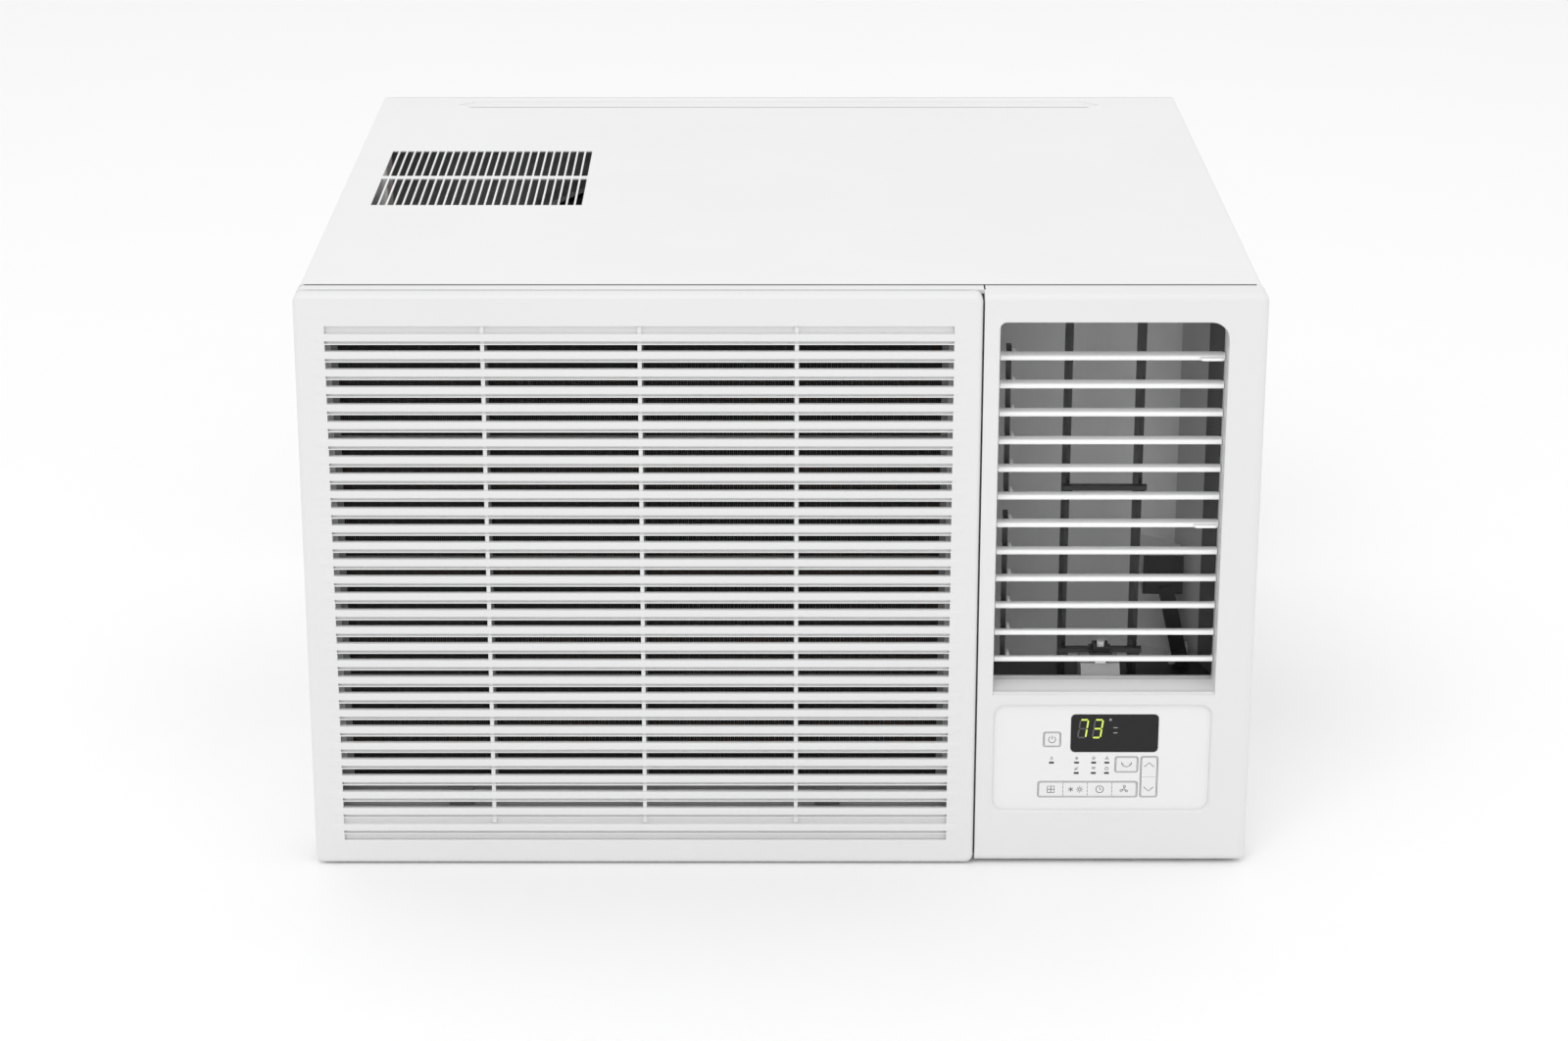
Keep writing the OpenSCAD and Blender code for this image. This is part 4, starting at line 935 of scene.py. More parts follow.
def painted_shade_lining(name, first, last, z0, z1):
    """A thin strip of painted shade on the inner side of the bend and of the straight side."""
    shares = [first + (last - first) * k / SHADE_LINING_STEPS for k in range(SHADE_LINING_STEPS + 1)]
    outer = [duct_point(share, SHADE_LINING_GAP) for share in shares]
    inner = [duct_point(share, SHADE_LINING_GAP + SHADE_LINING_T) for share in shares]
    if last == 1:
        outer.append((DUCT_X1 - SHADE_LINING_GAP, DUCT_FRONT))
        inner.append((DUCT_X1 - SHADE_LINING_GAP - SHADE_LINING_T, DUCT_FRONT))
    return slab(name, [outer + inner[::-1]], z0, z1)


# %% Painted shade: tray and side strips
SHADE_TRAY_TURN, SHADE_TRAY_STEPS = 0.755, 8
shade_tray_bend = [duct_point(SHADE_TRAY_TURN + (1 - SHADE_TRAY_TURN) * k / SHADE_TRAY_STEPS, SHADE_TRAY_GAP)
             for k in range(SHADE_TRAY_STEPS + 1)]
shade_tray_edge = [(DUCT_X0 + SHADE_TRAY_GAP, DUCT_FRONT), (DUCT_X0 + SHADE_TRAY_GAP, shade_tray_bend[0][1])]
shade_tray_edge += shade_tray_bend + [(DUCT_X1 - SHADE_TRAY_GAP, DUCT_FRONT)]
# painted shade: a black slab over the duct floor as far as the bend
tray = soften(slab("tray", [shade_tray_edge], DUCT_FLOOR + 0.05, DUCT_FLOOR + 0.9), 0.2)
goes_with(shade(join("duct_tray", tray)), "outlet_duct", "black_plastic")
# painted shade: a mid grey strip, then a dark grey one towards the straight side
for title, first, last, slot in (("duct_strip_middle", 0.66, 0.82, "grey_plastic"),
                                 ("duct_strip_side", 0.82, 1, "painted_shade_grey")):
    strip = shade(join(title, painted_shade_lining("strip", first, last, DUCT_FLOOR + 1, DUCT_ROOF - 0.5)))
    goes_with(strip, "outlet_duct", slot)
print("duct lining: a tray and 2 strips")

# %% [markdown]
# ## Casing
#
# The casing is one sheet of coated steel, folded round three sides and closed underneath, with
# rows of slots punched in its top and sides. Near its rear edge a long bead is pressed down into
# the top, which keeps the flat sheet from drumming. It starts as a box without its two ends; the
# long edges become small bends, and a Solidify modifier gives it the thickness of the sheet.
# Each row of slots is one punch, copied, and taken out in a single cut.

# %% The folded sheet
CASE_LOW, CASE_HIGH = span("outer_cabinet")
SHEET, BEND, FLANGE_W = 1, 3, 12
BEAD_Y = CASE_HIGH.y - 25
BEAD_L, BEAD_W, BEAD_D = 480, 22, 2
TOP_SLOT, TOP_STEP, TOP_COUNT, TOP_X0 = 4.3, 5.5, 26, -275
TOP_ROWS, TOP_SLOT_L = (-51, 31), 75
SIDE_SLOT, SIDE_STEP, SIDE_COUNT, SIDE_Y0 = 4.5, 9, 16, -66
SIDE_ROWS, SIDE_SLOT_H = (66, 154, 242), 76
SCREW_X, SCREW_Y, SCREW_R = (-200, 200), (-180, -60), 2.6


def folded_sheet():
    sleeve = block("sleeve", CASE_LOW, CASE_HIGH)
    edit(sleeve)
    pick("FACE", lambda m, f: abs(f.normal.y) > 0.9)
    bpy.ops.mesh.delete(type="ONLY_FACE")
    pick("EDGE", lambda m, e: along(e, Y))
    roll(BEND, 4)
    done()
    return apply(sleeve, "SOLIDIFY", thickness=SHEET * MM, offset=-1, use_even_offset=True)


def bead_shape(name, grow, z0, z1, slope):
    """A long hexagon with sloped lower edges, for the pressed bead."""
    half_l, half_w = BEAD_L / 2 + grow, BEAD_W / 2 + grow
    bead = block(name, (-half_l, BEAD_Y - half_w, z0), (half_l, BEAD_Y + half_w, z1))
    edit(bead)
    pick("EDGE", lambda m, e: along(e, Z))
    roll(half_w * 0.98, 1)
    pick("EDGE", lambda m, e: lies_at(e, Z, z0))
    roll(slope, 3)
    done()
    return bead


# %% Punches for the slots
def row_of(punch, count, step, name):
    """Copies of a punch in a row, as one object."""
    made = [copy_at(punch, name, Vector(step) * k) for k in range(count)]
    bpy.data.objects.remove(punch)
    return join(name, *made)


def punches():
    """Every opening of the casing: two rows of slots on top, three on each side, screw holes below."""
    rows = []
    for y in TOP_ROWS:
        slot = block("punch", (TOP_X0, y, CASE_HIGH.z - 4),
                     (TOP_X0 + TOP_SLOT, y + TOP_SLOT_L, CASE_HIGH.z + 3))
        rows.append(row_of(slot, TOP_COUNT, (TOP_STEP, 0, 0), "top_row"))
    for x in (CASE_LOW.x, CASE_HIGH.x):
        for z in SIDE_ROWS:
            slot = block("punch", (x - 4, SIDE_Y0, z), (x + 4, SIDE_Y0 + SIDE_SLOT, z + SIDE_SLOT_H))
            rows.append(row_of(slot, SIDE_COUNT, (0, SIDE_STEP, 0), "side_row"))
    for x in SCREW_X:
        for y in SCREW_Y:
            rows.append(rod("hole", (x, y, -3), (x, y, 5), SCREW_R, 24))
    return join("punches", *rows)


# %% The casing
def casing():
    sleeve = folded_sheet()
    low, high = CASE_LOW, CASE_HIGH
    cut(sleeve, bead_shape("bead_blank", 1, high.z - SHEET - BEAD_D, high.z - 0.4, 1.2), "UNION")
    cut(sleeve, bead_shape("bead_hollow", 0, high.z - BEAD_D, high.z + 2, 1.6))
    cut(sleeve, punches())
    outer = soft_outline(low.x, low.z, high.x, high.z, (BEND,) * 4, 4)
    inner = soft_outline(low.x + FLANGE_W, low.z + SHEET, high.x - FLANGE_W, high.z - FLANGE_W, (2,) * 4, 4)
    flange = plate("flange", [outer, inner[::-1]], high.y - SHEET, high.y)
    return stands_for(shade(join("folded_casing", soften(flange, 0.3), sleeve)), "outer_cabinet")


case = casing()
print("casing:", len(case.data.polygons), "faces")

# %% [markdown]
# ## Coils
#
# Each coil is a pack of thin aluminium fins on rows of copper tubes, which U-bends join at the
# ends. One rippled fin is modelled and repeated by an Array modifier; a bend is half of a torus,
# cut with a plane and copied.

# %% Fins, tubes and bends
FIN_PITCH, FIN_T, FIN_MARGIN, RIPPLE = 2.2, 0.26, 2, 0.6
TUBE_R, BEND_R, HALF_GAP = 3.5, 6, 10
END_T, LIP_W = 1.2, 7


def fin_pack(low, high):
    """Rippled fins from one end plate to the other."""
    x = low.x + FIN_MARGIN
    fin = block("fin", (x, low.y + 0.3, low.z + 0.6), (x + FIN_T, high.y - 0.3, high.z - 0.6))
    edit(fin)
    width = high.y - low.y
    places = [low.y + width * k / 6 for k in range(1, 6)]
    slice_at(Y, *places)
    pick("VERT", lambda m, v: any(near(m.y, p, 0.3) for p in places[::2]))
    nudge(RIPPLE, 0, 0)
    done()
    count = int((high.x - low.x - 2 * FIN_MARGIN) / FIN_PITCH)
    return repeat(fin, X * FIN_PITCH, count)


def tubes_and_bends(name, low, high, pairs):
    """Copper tubes along X, joined in pairs by half rings at both ends."""
    middle = (low.y + high.y) / 2
    parts = []
    half_ring = ring("bend", (0, 0, 0), Y, BEND_R, TUBE_R, 20, 10)
    edit(half_ring)
    bpy.ops.mesh.select_all(action="SELECT")
    bpy.ops.mesh.bisect(plane_co=(0, 0, 0), plane_no=(1, 0, 0), clear_inner=True, use_fill=True)
    done()
    flip = Matrix.Rotation(pi, 4, "Z")
    straight = rod("tube", (low.x - 1, 0, 0), (high.x + 1, 0, 0), TUBE_R, 10)
    for i in range(pairs):
        z = low.z + (i + 0.5) * (high.z - low.z) / pairs
        for y in (middle - HALF_GAP, middle + HALF_GAP):
            parts.append(copy_at(half_ring, "bend", (high.x + END_T, y, z)))
            parts.append(copy_at(half_ring, "bend", (low.x - END_T, y, z), flip))
            parts += [copy_at(straight, "tube", (0, y, z + up)) for up in (-BEND_R, BEND_R)]
    bpy.data.objects.remove(half_ring)
    bpy.data.objects.remove(straight)
    return shade(join(name, *parts), 40)


def coil(node, pairs):
    """A whole coil in place of its packed block."""
    outer_low, outer_high = span(node)
    reach = END_T + BEND_R + TUBE_R
    low, high = outer_low + X * reach, outer_high - X * reach
    ends = [soften(block("end", (x, low.y, low.z), (x + END_T, high.y, high.z)), 0.3)
            for x in (low.x - END_T, high.x)]
    lips = [block("lip", (low.x, low.y, z), (high.x, low.y + 1, z + LIP_W)) for z in (low.z, high.z - LIP_W)]
    fins = fin_pack(low, high)
    stands_for(join(node + "_fins", fins), node)
    goes_with(join(node + "_end_plates", *ends, *lips), node, "zinc_steel")
    goes_with(tubes_and_bends(node + "_tubes", low, high, pairs), node, "copper_tube")
    return len(fins.data.polygons)


for node_name, pairs in (("evaporator_coil", 11), ("condenser_coil", 14)):
    print(node_name, coil(node_name, pairs), "fin faces")

# %% [markdown]
# ## Filter
#
# The filter is a frame with ribs, made grey as painted shade, over which a fine black net is
# stretched. The net is real wire here, so light passes it as it does on the real one: one thread
# each way, repeated.

# %% Net and frame
NET_LOW, NET_HIGH = span("filter_mesh")
NET_PITCH, THREAD = 1.3, 0.62


def net():
    y = (NET_LOW.y + NET_HIGH.y) / 2
    upright = block("thread", (NET_LOW.x, y - 0.2, NET_LOW.z), (NET_LOW.x + THREAD, y + 0.1, NET_HIGH.z))
    repeat(upright, X * NET_PITCH, int((NET_HIGH.x - NET_LOW.x) / NET_PITCH))
    level = block("thread", (NET_LOW.x, y - 0.1, NET_LOW.z), (NET_HIGH.x, y + 0.2, NET_LOW.z + THREAD))
    repeat(level, Z * NET_PITCH, int((NET_HIGH.z - NET_LOW.z) / NET_PITCH))
    return stands_for(join("filter_net", upright, level), "filter_mesh")


def softened_copy(node, width, segments=2):
    """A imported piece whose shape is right, copied, merged and given soft edges."""
    twin = copy_at(frame["nodes"][node], node + "_soft")
    twin.parent = None
    twin.data.materials.clear()
    mend(twin)
    edit(twin)
    bpy.ops.mesh.select_all(action="SELECT")
    bpy.ops.mesh.dissolve_limited(angle_limit=radians(0.5))
    done()
    return stands_for(soften(twin, width, segments), node)


print("net:", len(net().data.polygons), "faces")
softened_copy("filter_frame", 0.4)

# %% [markdown]
# ## Compressor
#
# A drawn steel can welded shut, with a slightly wider band round its middle, a foot plate on
# rubber mounts and a slim accumulator strapped beside it. Cylinders with their rims rolled over
# by wide bevels give the domed ends.

# %% Cans with rolled rims
def can(name, start, end, radius, rim_top, rim_bottom, sides=56):
    """An upright cylinder with rolled rims."""
    body = rod(name, start, end, radius, sides)
    edit(body)
    pick("EDGE", lambda m, e: lies_at(e, Z, end[2]))
    roll(rim_top, 7)
    pick("EDGE", lambda m, e: lies_at(e, Z, start[2]))
    roll(rim_bottom, 4)
    done()
    return body


# %% Shell, band, foot plate and accumulator
CAN_X, CAN_Y, CAN_R = 195, 70, 55.5
SHELL_Z0, SHELL_Z1, BAND_Z0, BAND_Z1, BAND_R = 44, 250, 84, 202, 57
CAP_R_TOP, WELD_R = 16, 56.2
FOOT_Z, FOOT_T, FOOT_R, LUG_L, LUG_W = 42, 4, 61, 85, 30
LUG_ANGLES, LUG_HOLE_AT, LUG_HOLE_R = (90, 210, 330), 72, 8
TANK_X, TANK_Z0, TANK_Z1, TANK_R = 108, 78, 218, 24
STRAP_LOW, STRAP_HIGH = (131, CAN_Y - 6, 150), (140, CAN_Y + 6, 164)


def lug_at(angle):
    """One of the three arms of the foot plate, with the hole for its rubber mount."""
    x, y = CAN_X + LUG_HOLE_AT * cos(radians(angle)), CAN_Y + LUG_HOLE_AT * sin(radians(angle))
    lug = block("lug", (0, -LUG_W / 2, FOOT_Z), (LUG_L, LUG_W / 2, FOOT_Z + FOOT_T))
    centre = Matrix.Translation((CAN_X * MM, CAN_Y * MM, 0))
    lug.data.transform(centre @ Matrix.Rotation(radians(angle), 4, "Z"))
    return soften(cut(lug, rod("hole", (x, y, FOOT_Z - 3), (x, y, FOOT_Z + 8), LUG_HOLE_R, 24)), 0.6)


def compressor():
    x, y, top = CAN_X, CAN_Y, span("compressor")[1].z
    parts = [can("shell", (x, y, SHELL_Z0), (x, y, SHELL_Z1), CAN_R, 24, 10),
             can("band", (x, y, BAND_Z0), (x, y, BAND_Z1), BAND_R, 1.4, 1.4),
             can("cap", (x, y, SHELL_Z1 - 2), (x, y, top), CAP_R_TOP, 3, 1),
             can("foot", (x, y, FOOT_Z), (x, y, FOOT_Z + FOOT_T), FOOT_R, 1.2, 0.8)]
    parts += [lug_at(angle) for angle in LUG_ANGLES]
    parts.append(can("accumulator", (TANK_X, y, TANK_Z0), (TANK_X, y, TANK_Z1), TANK_R, 12, 12, 36))
    parts.append(soften(block("strap", STRAP_LOW, STRAP_HIGH), 0.5))
    parts += [ring("weld", (x, y, height), Z, WELD_R, 0.9, 56, 6) for height in (BAND_Z0, BAND_Z1)]
    return stands_for(shade(join("compressor_can", *parts), 40), "compressor")


print("compressor:", len(compressor().data.polygons), "faces")

# %% [markdown]
# ## Outdoor fan
#
# The outdoor fan is one black moulding: a hub, five swept blades and the ring that throws
# condensate on to the hot coil. A blade starts as a thin plate, is sliced across, and each slice
# is made wider and shifted further than the last. Then the middle is bowed and the whole tilted.

# %% One blade
FAN_LOW, FAN_HIGH = span("condenser_fan")
FAN_R = (FAN_HIGH.x - FAN_LOW.x) / 2
FAN_BLADES, HUB_R, HOOP_T = 5, 30, 3.5
HOOP_Y0, HOOP_Y1 = FAN_LOW.y + 12, FAN_LOW.y + 28
VANE_X0, VANE_X1, VANE_T, VANE_W = 24, FAN_R - 1.5, 2.4, 60
STATIONS, VANE_SWEEP, VANE_CAMBER, VANE_PITCH = [50, 80, 110, 140], 14, 1.6, 22


def fan_vane():
    """A blade that widens and sweeps towards its tip, bowed and set at its pitch."""
    vane = block("vane", (VANE_X0, -VANE_T / 2, -VANE_W / 2), (VANE_X1, VANE_T / 2, VANE_W / 2))
    edit(vane)
    slice_at(X, *STATIONS)
    slice_at(Z, -VANE_W / 4, 0, VANE_W / 4)
    for x in [VANE_X0] + STATIONS + [VANE_X1]:
        share = (x - VANE_X0) / (VANE_X1 - VANE_X0)
        pick("VERT", lambda m, v: near(m.x, x, 0.5))
        bpy.ops.transform.resize(value=(1, 1, 0.55 + 0.75 * share), center_override=(0, 0, 0))
        nudge(0, 0, -VANE_SWEEP * share)
    pick("VERT", lambda m, v: abs(m.z + VANE_SWEEP / 2) < 12)
    nudge(0, VANE_CAMBER, 0)
    done()
    place = Matrix.Translation((0, (FAN_LOW.y + 18) * MM, 0))
    vane.data.transform(place @ Matrix.Rotation(radians(VANE_PITCH), 4, "X"))
    return soften(vane, 0.8)


# %% Hub, ring and all blades
def fan_wheel():
    x, z = (FAN_LOW.x + FAN_HIGH.x) / 2, (FAN_LOW.z + FAN_HIGH.z) / 2
    hub = rod("hub", (x, FAN_LOW.y, z), (x, FAN_HIGH.y, z), HUB_R, 48)
    edit(hub)
    pick("EDGE", lambda m, e: lies_at(e, Y, FAN_LOW.y))
    roll(5)
    done()
    hoop = rod("hoop", (x, HOOP_Y0, z), (x, HOOP_Y1, z), FAN_R, 96)
    cut(hoop, rod("inner", (x, HOOP_Y0 - 2, z), (x, HOOP_Y1 + 2, z), FAN_R - HOOP_T, 96))
    parts = [hub, soften(hoop, 0.8)]
    vane = fan_vane()
    for k in range(FAN_BLADES):
        turn = Matrix.Rotation(2 * pi * k / FAN_BLADES, 4, "Y")
        parts.append(copy_at(vane, "vane", (x, 0, z), turn))
    bpy.data.objects.remove(vane)
    return stands_for(shade(join("outdoor_fan", *parts)), "condenser_fan")


print("outdoor fan:", len(fan_wheel().data.polygons), "faces")

# %% [markdown]
# ## Shared effects
#
# Three effects turn up on many finishes, so each is a node group made once: the fine grain that
# a mould or a powder coat leaves, a slow unevenness of tone such as dust and handling give, and
# the spangle of galvanised sheet. A group only puts out values and colours; the shader stays in
# each material, where its constants are set on its own sockets.

# %% Helpers for node trees
def new_group(name, inputs, outputs):
    """A shader node group with named inputs and outputs."""
    group = bpy.data.node_groups.new(name, "ShaderNodeTree")
    for label, kind, value in inputs:
        socket = group.interface.new_socket(label, in_out="INPUT", socket_type=kind)
        socket.default_value = value
    for label, kind in outputs:
        group.interface.new_socket(label, in_out="OUTPUT", socket_type=kind)
    return group, group.nodes.new("NodeGroupInput"), group.nodes.new("NodeGroupOutput")


def node(tree, kind, links=(), **settings):
    """Adds a node, sets its values and wires its inputs."""
    made = tree.nodes.new("ShaderNode" + kind)
    for key, value in settings.items():
        if hasattr(made, key):
            setattr(made, key, value)
        else:
            made.inputs[key.replace("_", " ")].default_value = value
    for source, target in links:
        tree.links.new(source, made.inputs[target])
    return made


def maths(tree, operation, *values):
    """A Math node's result; each value is a number or the socket that feeds it."""
    made = tree.nodes.new("ShaderNodeMath")
    made.operation = operation
    for socket, value in zip(made.inputs, values):
        if isinstance(value, float):
            socket.default_value = value
        else:
            tree.links.new(value, socket)
    return made.outputs[0]


FLOAT, COLOUR = "NodeSocketFloat", "NodeSocketColor"


# %% Grain, tone and spangle
def grain_group():
    """Fine bumps and small changes of gloss."""
    inputs = [("Size", FLOAT, 900.0), ("Roughness", FLOAT, 0.4), ("Spread", FLOAT, 0.06)]
    g, given, out = new_group("fine_grain", inputs, [("Height", FLOAT), ("Roughness", FLOAT)])
    place = node(g, "TexCoord")
    fine = node(g, "TexNoise", [(place.outputs["Object"], "Vector"), (given.outputs["Size"], "Scale")],
                Detail=3.0)
    slow = node(g, "TexNoise", [(place.outputs["Object"], "Vector")], Scale=9.0, Detail=4.0)
    swing = maths(g, "SUBTRACT", slow.outputs["Fac"], 0.5)
    spread = maths(g, "MULTIPLY_ADD", swing, given.outputs["Spread"], given.outputs["Roughness"])
    g.links.new(fine.outputs["Fac"], out.inputs["Height"])
    g.links.new(spread, out.inputs["Roughness"])
    return g


DUST_COLOUR = (0.42, 0.40, 0.37, 1)


def tone_group():
    """A base colour that drifts slightly, and darkens a little where dust settles on top faces."""
    inputs = [("Colour", COLOUR, (0.8, 0.8, 0.8, 1)), ("Second", COLOUR, (0.7, 0.7, 0.7, 1)),
              ("Scale", FLOAT, 6.0), ("Dust", FLOAT, 0.02)]
    g, given, out = new_group("soft_tone", inputs, [("Colour", COLOUR)])
    place = node(g, "TexCoord")
    cloud = node(g, "TexNoise", [(place.outputs["Object"], "Vector"), (given.outputs["Scale"], "Scale")],
                 Detail=5.0, Roughness=0.6)
    steps = node(g, "ValToRGB", [(cloud.outputs["Fac"], "Fac")])
    steps.color_ramp.elements[0].position = 0.35
    steps.color_ramp.elements[1].position = 0.75
    mixed = node(g, "MixRGB", [(steps.outputs["Color"], "Fac"), (given.outputs["Colour"], "Color1"),
                               (given.outputs["Second"], "Color2")])
    facing = node(g, "NewGeometry")
    up = node(g, "SeparateXYZ", [(facing.outputs["Normal"], "Vector")])
    above = maths(g, "MAXIMUM", up.outputs["Z"], 0.0)
    dust = maths(g, "MULTIPLY", above, given.outputs["Dust"])
    dulled = node(g, "MixRGB", [(dust, "Fac"), (mixed.outputs["Color"], "Color1")], Color2=DUST_COLOUR)
    g.links.new(dulled.outputs["Color"], out.inputs["Colour"])
    return g


def spangle_group():
    """The crystals of a zinc coat, as cells of slightly different brightness and gloss."""
    outputs = [("Fac", FLOAT), ("Roughness", FLOAT)]
    g, given, out = new_group("zinc_spangle", [("Size", FLOAT, 120.0)], outputs)
    place = node(g, "TexCoord")
    cells = node(g, "TexVoronoi", [(place.outputs["Object"], "Vector"), (given.outputs["Size"], "Scale")])
    levels = node(g, "SeparateXYZ", [(cells.outputs["Color"], "Vector")])
    rough = maths(g, "MULTIPLY_ADD", levels.outputs["Y"], 0.18, 0.3)
    g.links.new(levels.outputs["X"], out.inputs["Fac"])
    g.links.new(rough, out.inputs["Roughness"])
    return g


GRAIN, TONE, SPANGLE = grain_group(), tone_group(), spangle_group()
print("groups:", GRAIN.name, TONE.name, SPANGLE.name)

# %% [markdown]
# ## Finishes
#
# Most of the unit is a neutral white: a fine powder coat on the casing and satin mouldings in
# front. Inside are foam, galvanised steel, copper and black plastic. One function builds a
# finish from a colour pair, a grain and a gloss, and the few special ones add to it.

# %% A finish made of tone and grain
def group_node(tree, group, **values):
    made = tree.nodes.new("ShaderNodeGroup")
    made.node_tree = group
    for key, value in values.items():
        made.inputs[key].default_value = value
    return made


RELIEF = 0.0002


def finish(name, colour, second, rough, size=900.0, bump=0.15, spread=0.08, dust=0.0, scale=6.0,
           **shader):
    """A material with drifting tone, fine grain and uneven gloss."""
    material = bpy.data.materials.new(name)
    material.use_nodes = True
    tree = material.node_tree
    surface = tree.nodes["Principled BSDF"]
    tone = group_node(tree, TONE, Colour=(*colour, 1), Second=(*second, 1), Scale=scale, Dust=dust)
    grain = group_node(tree, GRAIN, Size=size, Roughness=rough, Spread=spread)
    relief = node(tree, "Bump", [(grain.outputs["Height"], "Height")], Strength=bump, Distance=RELIEF)
    tree.links.new(tone.outputs["Colour"], surface.inputs["Base Color"])
    tree.links.new(grain.outputs["Roughness"], surface.inputs["Roughness"])
    tree.links.new(relief.outputs["Normal"], surface.inputs["Normal"])
    for key, value in shader.items():
        surface.inputs[key.replace("_", " ")].default_value = value
    return material


def grey(value, blue=0.0):
    return (value, value, value + blue)


# %% Whites
FINISH = {
    "white_steel": finish("white_powder_coat", grey(0.82), grey(0.8), 0.5, size=1400.0, bump=0.25,
                          dust=0.015),
    "white_plastic": finish("white_satin_moulding", grey(0.77), grey(0.755), 0.42, size=1800.0, bump=0.12),
    "bright_plastic": finish("bright_white_moulding", grey(0.94), grey(0.93), 0.36, size=2200.0, bump=0.06),
    "key_plastic": finish("key_cap_white", grey(0.8), grey(0.79), 0.4, size=2500.0, bump=0.08),
    "grey_plastic": finish("pale_grey_moulding", grey(0.62), grey(0.58), 0.5, size=1500.0, bump=0.15),
}

# %% Blacks, greys and rubber
FINISH.update({
    "black_plastic": finish("black_moulding", grey(0.02), grey(0.028), 0.42, size=1500.0, dust=0.06),
    "window_black": finish("smoked_window", grey(0.010, 0.001), grey(0.013, 0.001), 0.12, size=300.0,
                           bump=0.01, spread=0.05, Specular_IOR_Level=0.3),
    "lens_clear": finish("indicator_lens", grey(0.03), grey(0.045), 0.2, size=600.0, bump=0.02),
    "black_rubber": finish("black_rubber", grey(0.02), grey(0.03), 0.75, size=700.0, bump=0.3, dust=0.08),
    "black_shell": finish("black_enamel", grey(0.012), grey(0.02), 0.34, size=500.0, bump=0.12, dust=0.05),
    "motor_shell": finish("motor_enamel", grey(0.06), grey(0.075), 0.38, size=800.0, bump=0.1, dust=0.05),
    "grey_foam": finish("moulded_foam", grey(0.42), grey(0.36), 0.85, size=260.0, bump=0.5, spread=0.05,
                        scale=14.0),
    # painted shade: the darkest grey, for the duct's turning side
    "painted_shade_grey": finish("dark_grey_moulding", grey(0.16), grey(0.14), 0.5, size=1500.0, bump=0.12),
    "pale_foam": finish("pale_foam", grey(0.92), grey(0.87), 0.85, size=260.0, bump=0.5, scale=14.0),
    "plate_plastic": finish("plate_moulding", grey(0.82), grey(0.81), 0.34, size=2200.0, bump=0.06),
    # painted shade: the white filter frame made grey for its shadow behind the grille
    "frame_painted_shade": finish("filter_frame_grey", grey(0.3), grey(0.26), 0.5, size=1500.0, bump=0.12),
    "mesh_fabric": finish("filter_net", grey(0.012), grey(0.02), 0.7, size=900.0, bump=0.4),
    "print_grey": finish("printed_grey", grey(0.1), grey(0.13), 0.6, size=2000.0, bump=0.02),
    "circuit_board": finish("green_board", (0.015, 0.09, 0.035), (0.02, 0.12, 0.05), 0.35, size=500.0,
                            bump=0.1, scale=90.0, Coat_Weight=0.3),
})


# %% Metals
def metal(name, colour, second, rough, size, bump, scale=20.0, **shader):
    return finish(name, colour, second, rough, size=size, bump=bump, scale=scale, Metallic=1.0, **shader)


DARK_ZINC, PALE_ZINC = (0.46, 0.48, 0.49, 1), (0.66, 0.68, 0.69, 1)


def galvanised():
    """Zinc-coated sheet: spangle drives both the tone and the gloss."""
    material = metal("galvanised_sheet", grey(0.5), grey(0.56), 0.4, 400.0, 0.1)
    tree = material.node_tree
    surface = tree.nodes["Principled BSDF"]
    cells = group_node(tree, SPANGLE, Size=110.0)
    blend = node(tree, "MixRGB", [(cells.outputs["Fac"], "Fac")], Color1=DARK_ZINC, Color2=PALE_ZINC)
    tree.links.new(blend.outputs["Color"], surface.inputs["Base Color"])
    tree.links.new(cells.outputs["Roughness"], surface.inputs["Roughness"])
    return material


FINISH.update({
    "zinc_steel": galvanised(),
    "aluminium_fins": metal("fin_aluminium", grey(0.9, 0.01), grey(0.84, 0.01), 0.5, 700.0, 0.1),
    "copper_tube": metal("drawn_copper", (0.72, 0.36, 0.2), (0.5, 0.22, 0.12), 0.3, 300.0, 0.08),
    "shaft_steel": metal("ground_steel", grey(0.55), grey(0.62), 0.25, 1200.0, 0.05),
    "capacitor_can": metal("aluminium_can", grey(0.68), grey(0.6), 0.3, 500.0, 0.06),
})


def glowing(name, colour, strength):
    """A lit segment: a plain emitter whose brightness wavers a little over its area."""
    material = finish(name, colour, tuple(0.8 * c for c in colour), 0.5, size=1500.0, bump=0.05)
    tree = material.node_tree
    surface = tree.nodes["Principled BSDF"]
    second = tuple(0.7 * c for c in colour)
    tone = group_node(tree, TONE, Colour=(*colour, 1), Second=(*second, 1), Scale=400.0, Dust=0.0)
    tree.links.new(tone.outputs["Colour"], surface.inputs["Emission Color"])
    surface.inputs["Emission Strength"].default_value = strength
    return material


FINISH["lit_segment"] = glowing("lit_segment", (0.5, 0.62, 0.08), 0.72)
FINISH["dark_segment"] = finish("dark_segment", grey(0.075), grey(0.085), 0.4, size=900.0, bump=0.05)
FINISH["window_print"] = finish("window_print", grey(0.75), grey(0.7), 0.5, size=900.0, bump=0.05)
print("finishes:", len(FINISH))
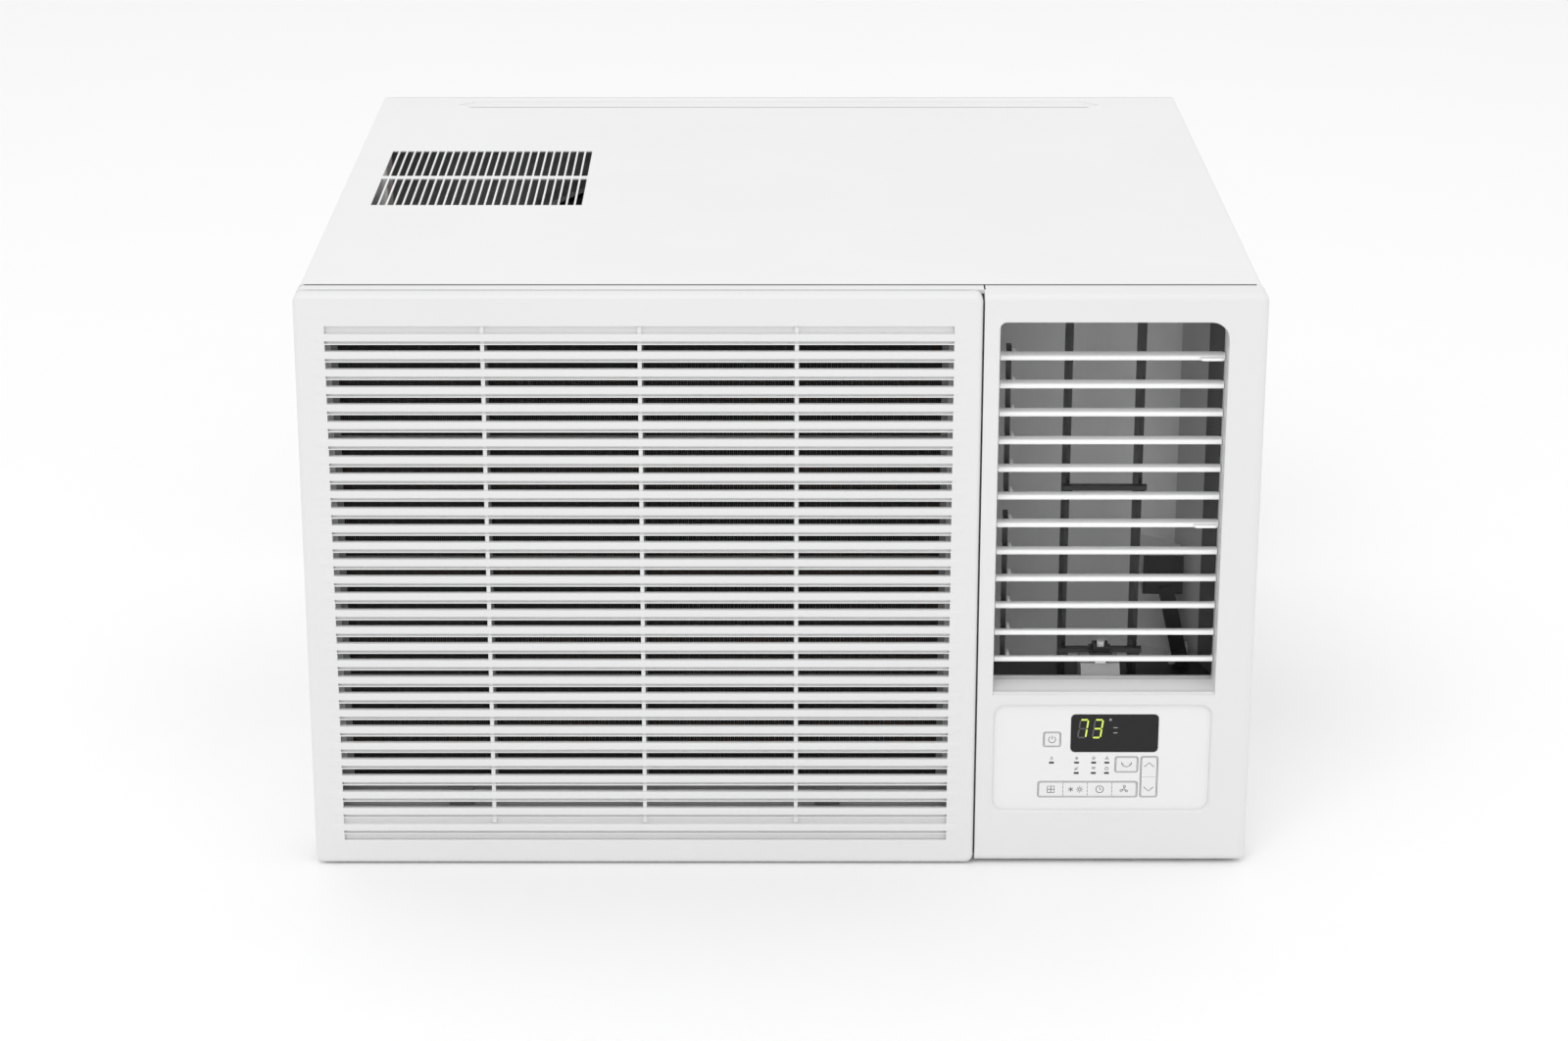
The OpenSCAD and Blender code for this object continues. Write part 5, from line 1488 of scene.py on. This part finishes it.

# %% [markdown]
# ## Dressing the pieces
#
# Every imported piece that stays takes the finish of its slot, and every new piece takes the one
# that was noted when it was made. Three pieces are lighter or darker than the rest of their slot;
# the filter frame's darker grey is painted shade.

# %% Give each piece its finish
def dress(thing, slot):
    """Puts one material in every slot of the piece."""
    material = FINISH[slot]
    if not thing.material_slots:
        thing.data.materials.append(material)
    for place in thing.material_slots:
        place.material = material


# the filter frame's grey finish is painted shade
OWN_FINISH = {"outlet_duct": "pale_foam", "control_plate_moulding": "plate_plastic",
              "filter_frame_soft": "frame_painted_shade"}
for name, thing in frame["nodes"].items():
    dress(thing, OWN_FINISH.get(name, SLOT_OF[name]))
for name, slot in finish_of.items():
    dress(bpy.data.objects[name], OWN_FINISH.get(name, slot))
print("dressed:", len(frame["nodes"]), "packed and", len(finish_of), "new pieces")

# %% [markdown]
# ## Studio
#
# The unit stands on a wide, flat, almost white floor. A soft key light above and in front, a
# weak fill from the right, another from above and a white surround keep the white readable
# without burning it out.

# %% Floor
FLOOR_SIZE, FLOOR_Z = 30, -0.0005
bpy.ops.object.select_all(action="DESELECT")
bpy.ops.mesh.primitive_plane_add(size=FLOOR_SIZE, location=(0, 0, FLOOR_Z))
floor = settle(bpy.context.object, "studio_floor")
floor.data.materials.append(finish("studio_floor", grey(0.97), grey(0.965), 0.85, size=60.0, bump=0.02))


# %% Lights and surround
def soft_light(name, place, target, size, power):
    """A square area light that looks at a point."""
    bpy.ops.object.light_add(type="AREA", location=place)
    light = bpy.context.object
    light.name = name
    light.data.size = size
    light.data.energy = power
    light.rotation_euler = (Vector(target) - Vector(place)).to_track_quat("-Z", "Y").to_euler()
    return light


soft_light("key", (-0.7, -2.4, 3.0), (0, -0.1, 0.2), 1.6, 22)
soft_light("fill", (1.8, -3.0, 1.4), (0, 0, 0.2), 1.6, 4)
soft_light("top", (0, 0.8, 3.0), (0, 0, 0.2), 2.4, 7)
SURROUND_STRENGTH = 0.9
world = bpy.data.worlds.new("studio")
bpy.context.scene.world = world
world.use_nodes = True
world.node_tree.nodes["Background"].inputs["Color"].default_value = (1, 1, 1, 1)
world.node_tree.nodes["Background"].inputs["Strength"].default_value = SURROUND_STRENGTH
bpy.context.scene.view_settings.view_transform = "Standard"
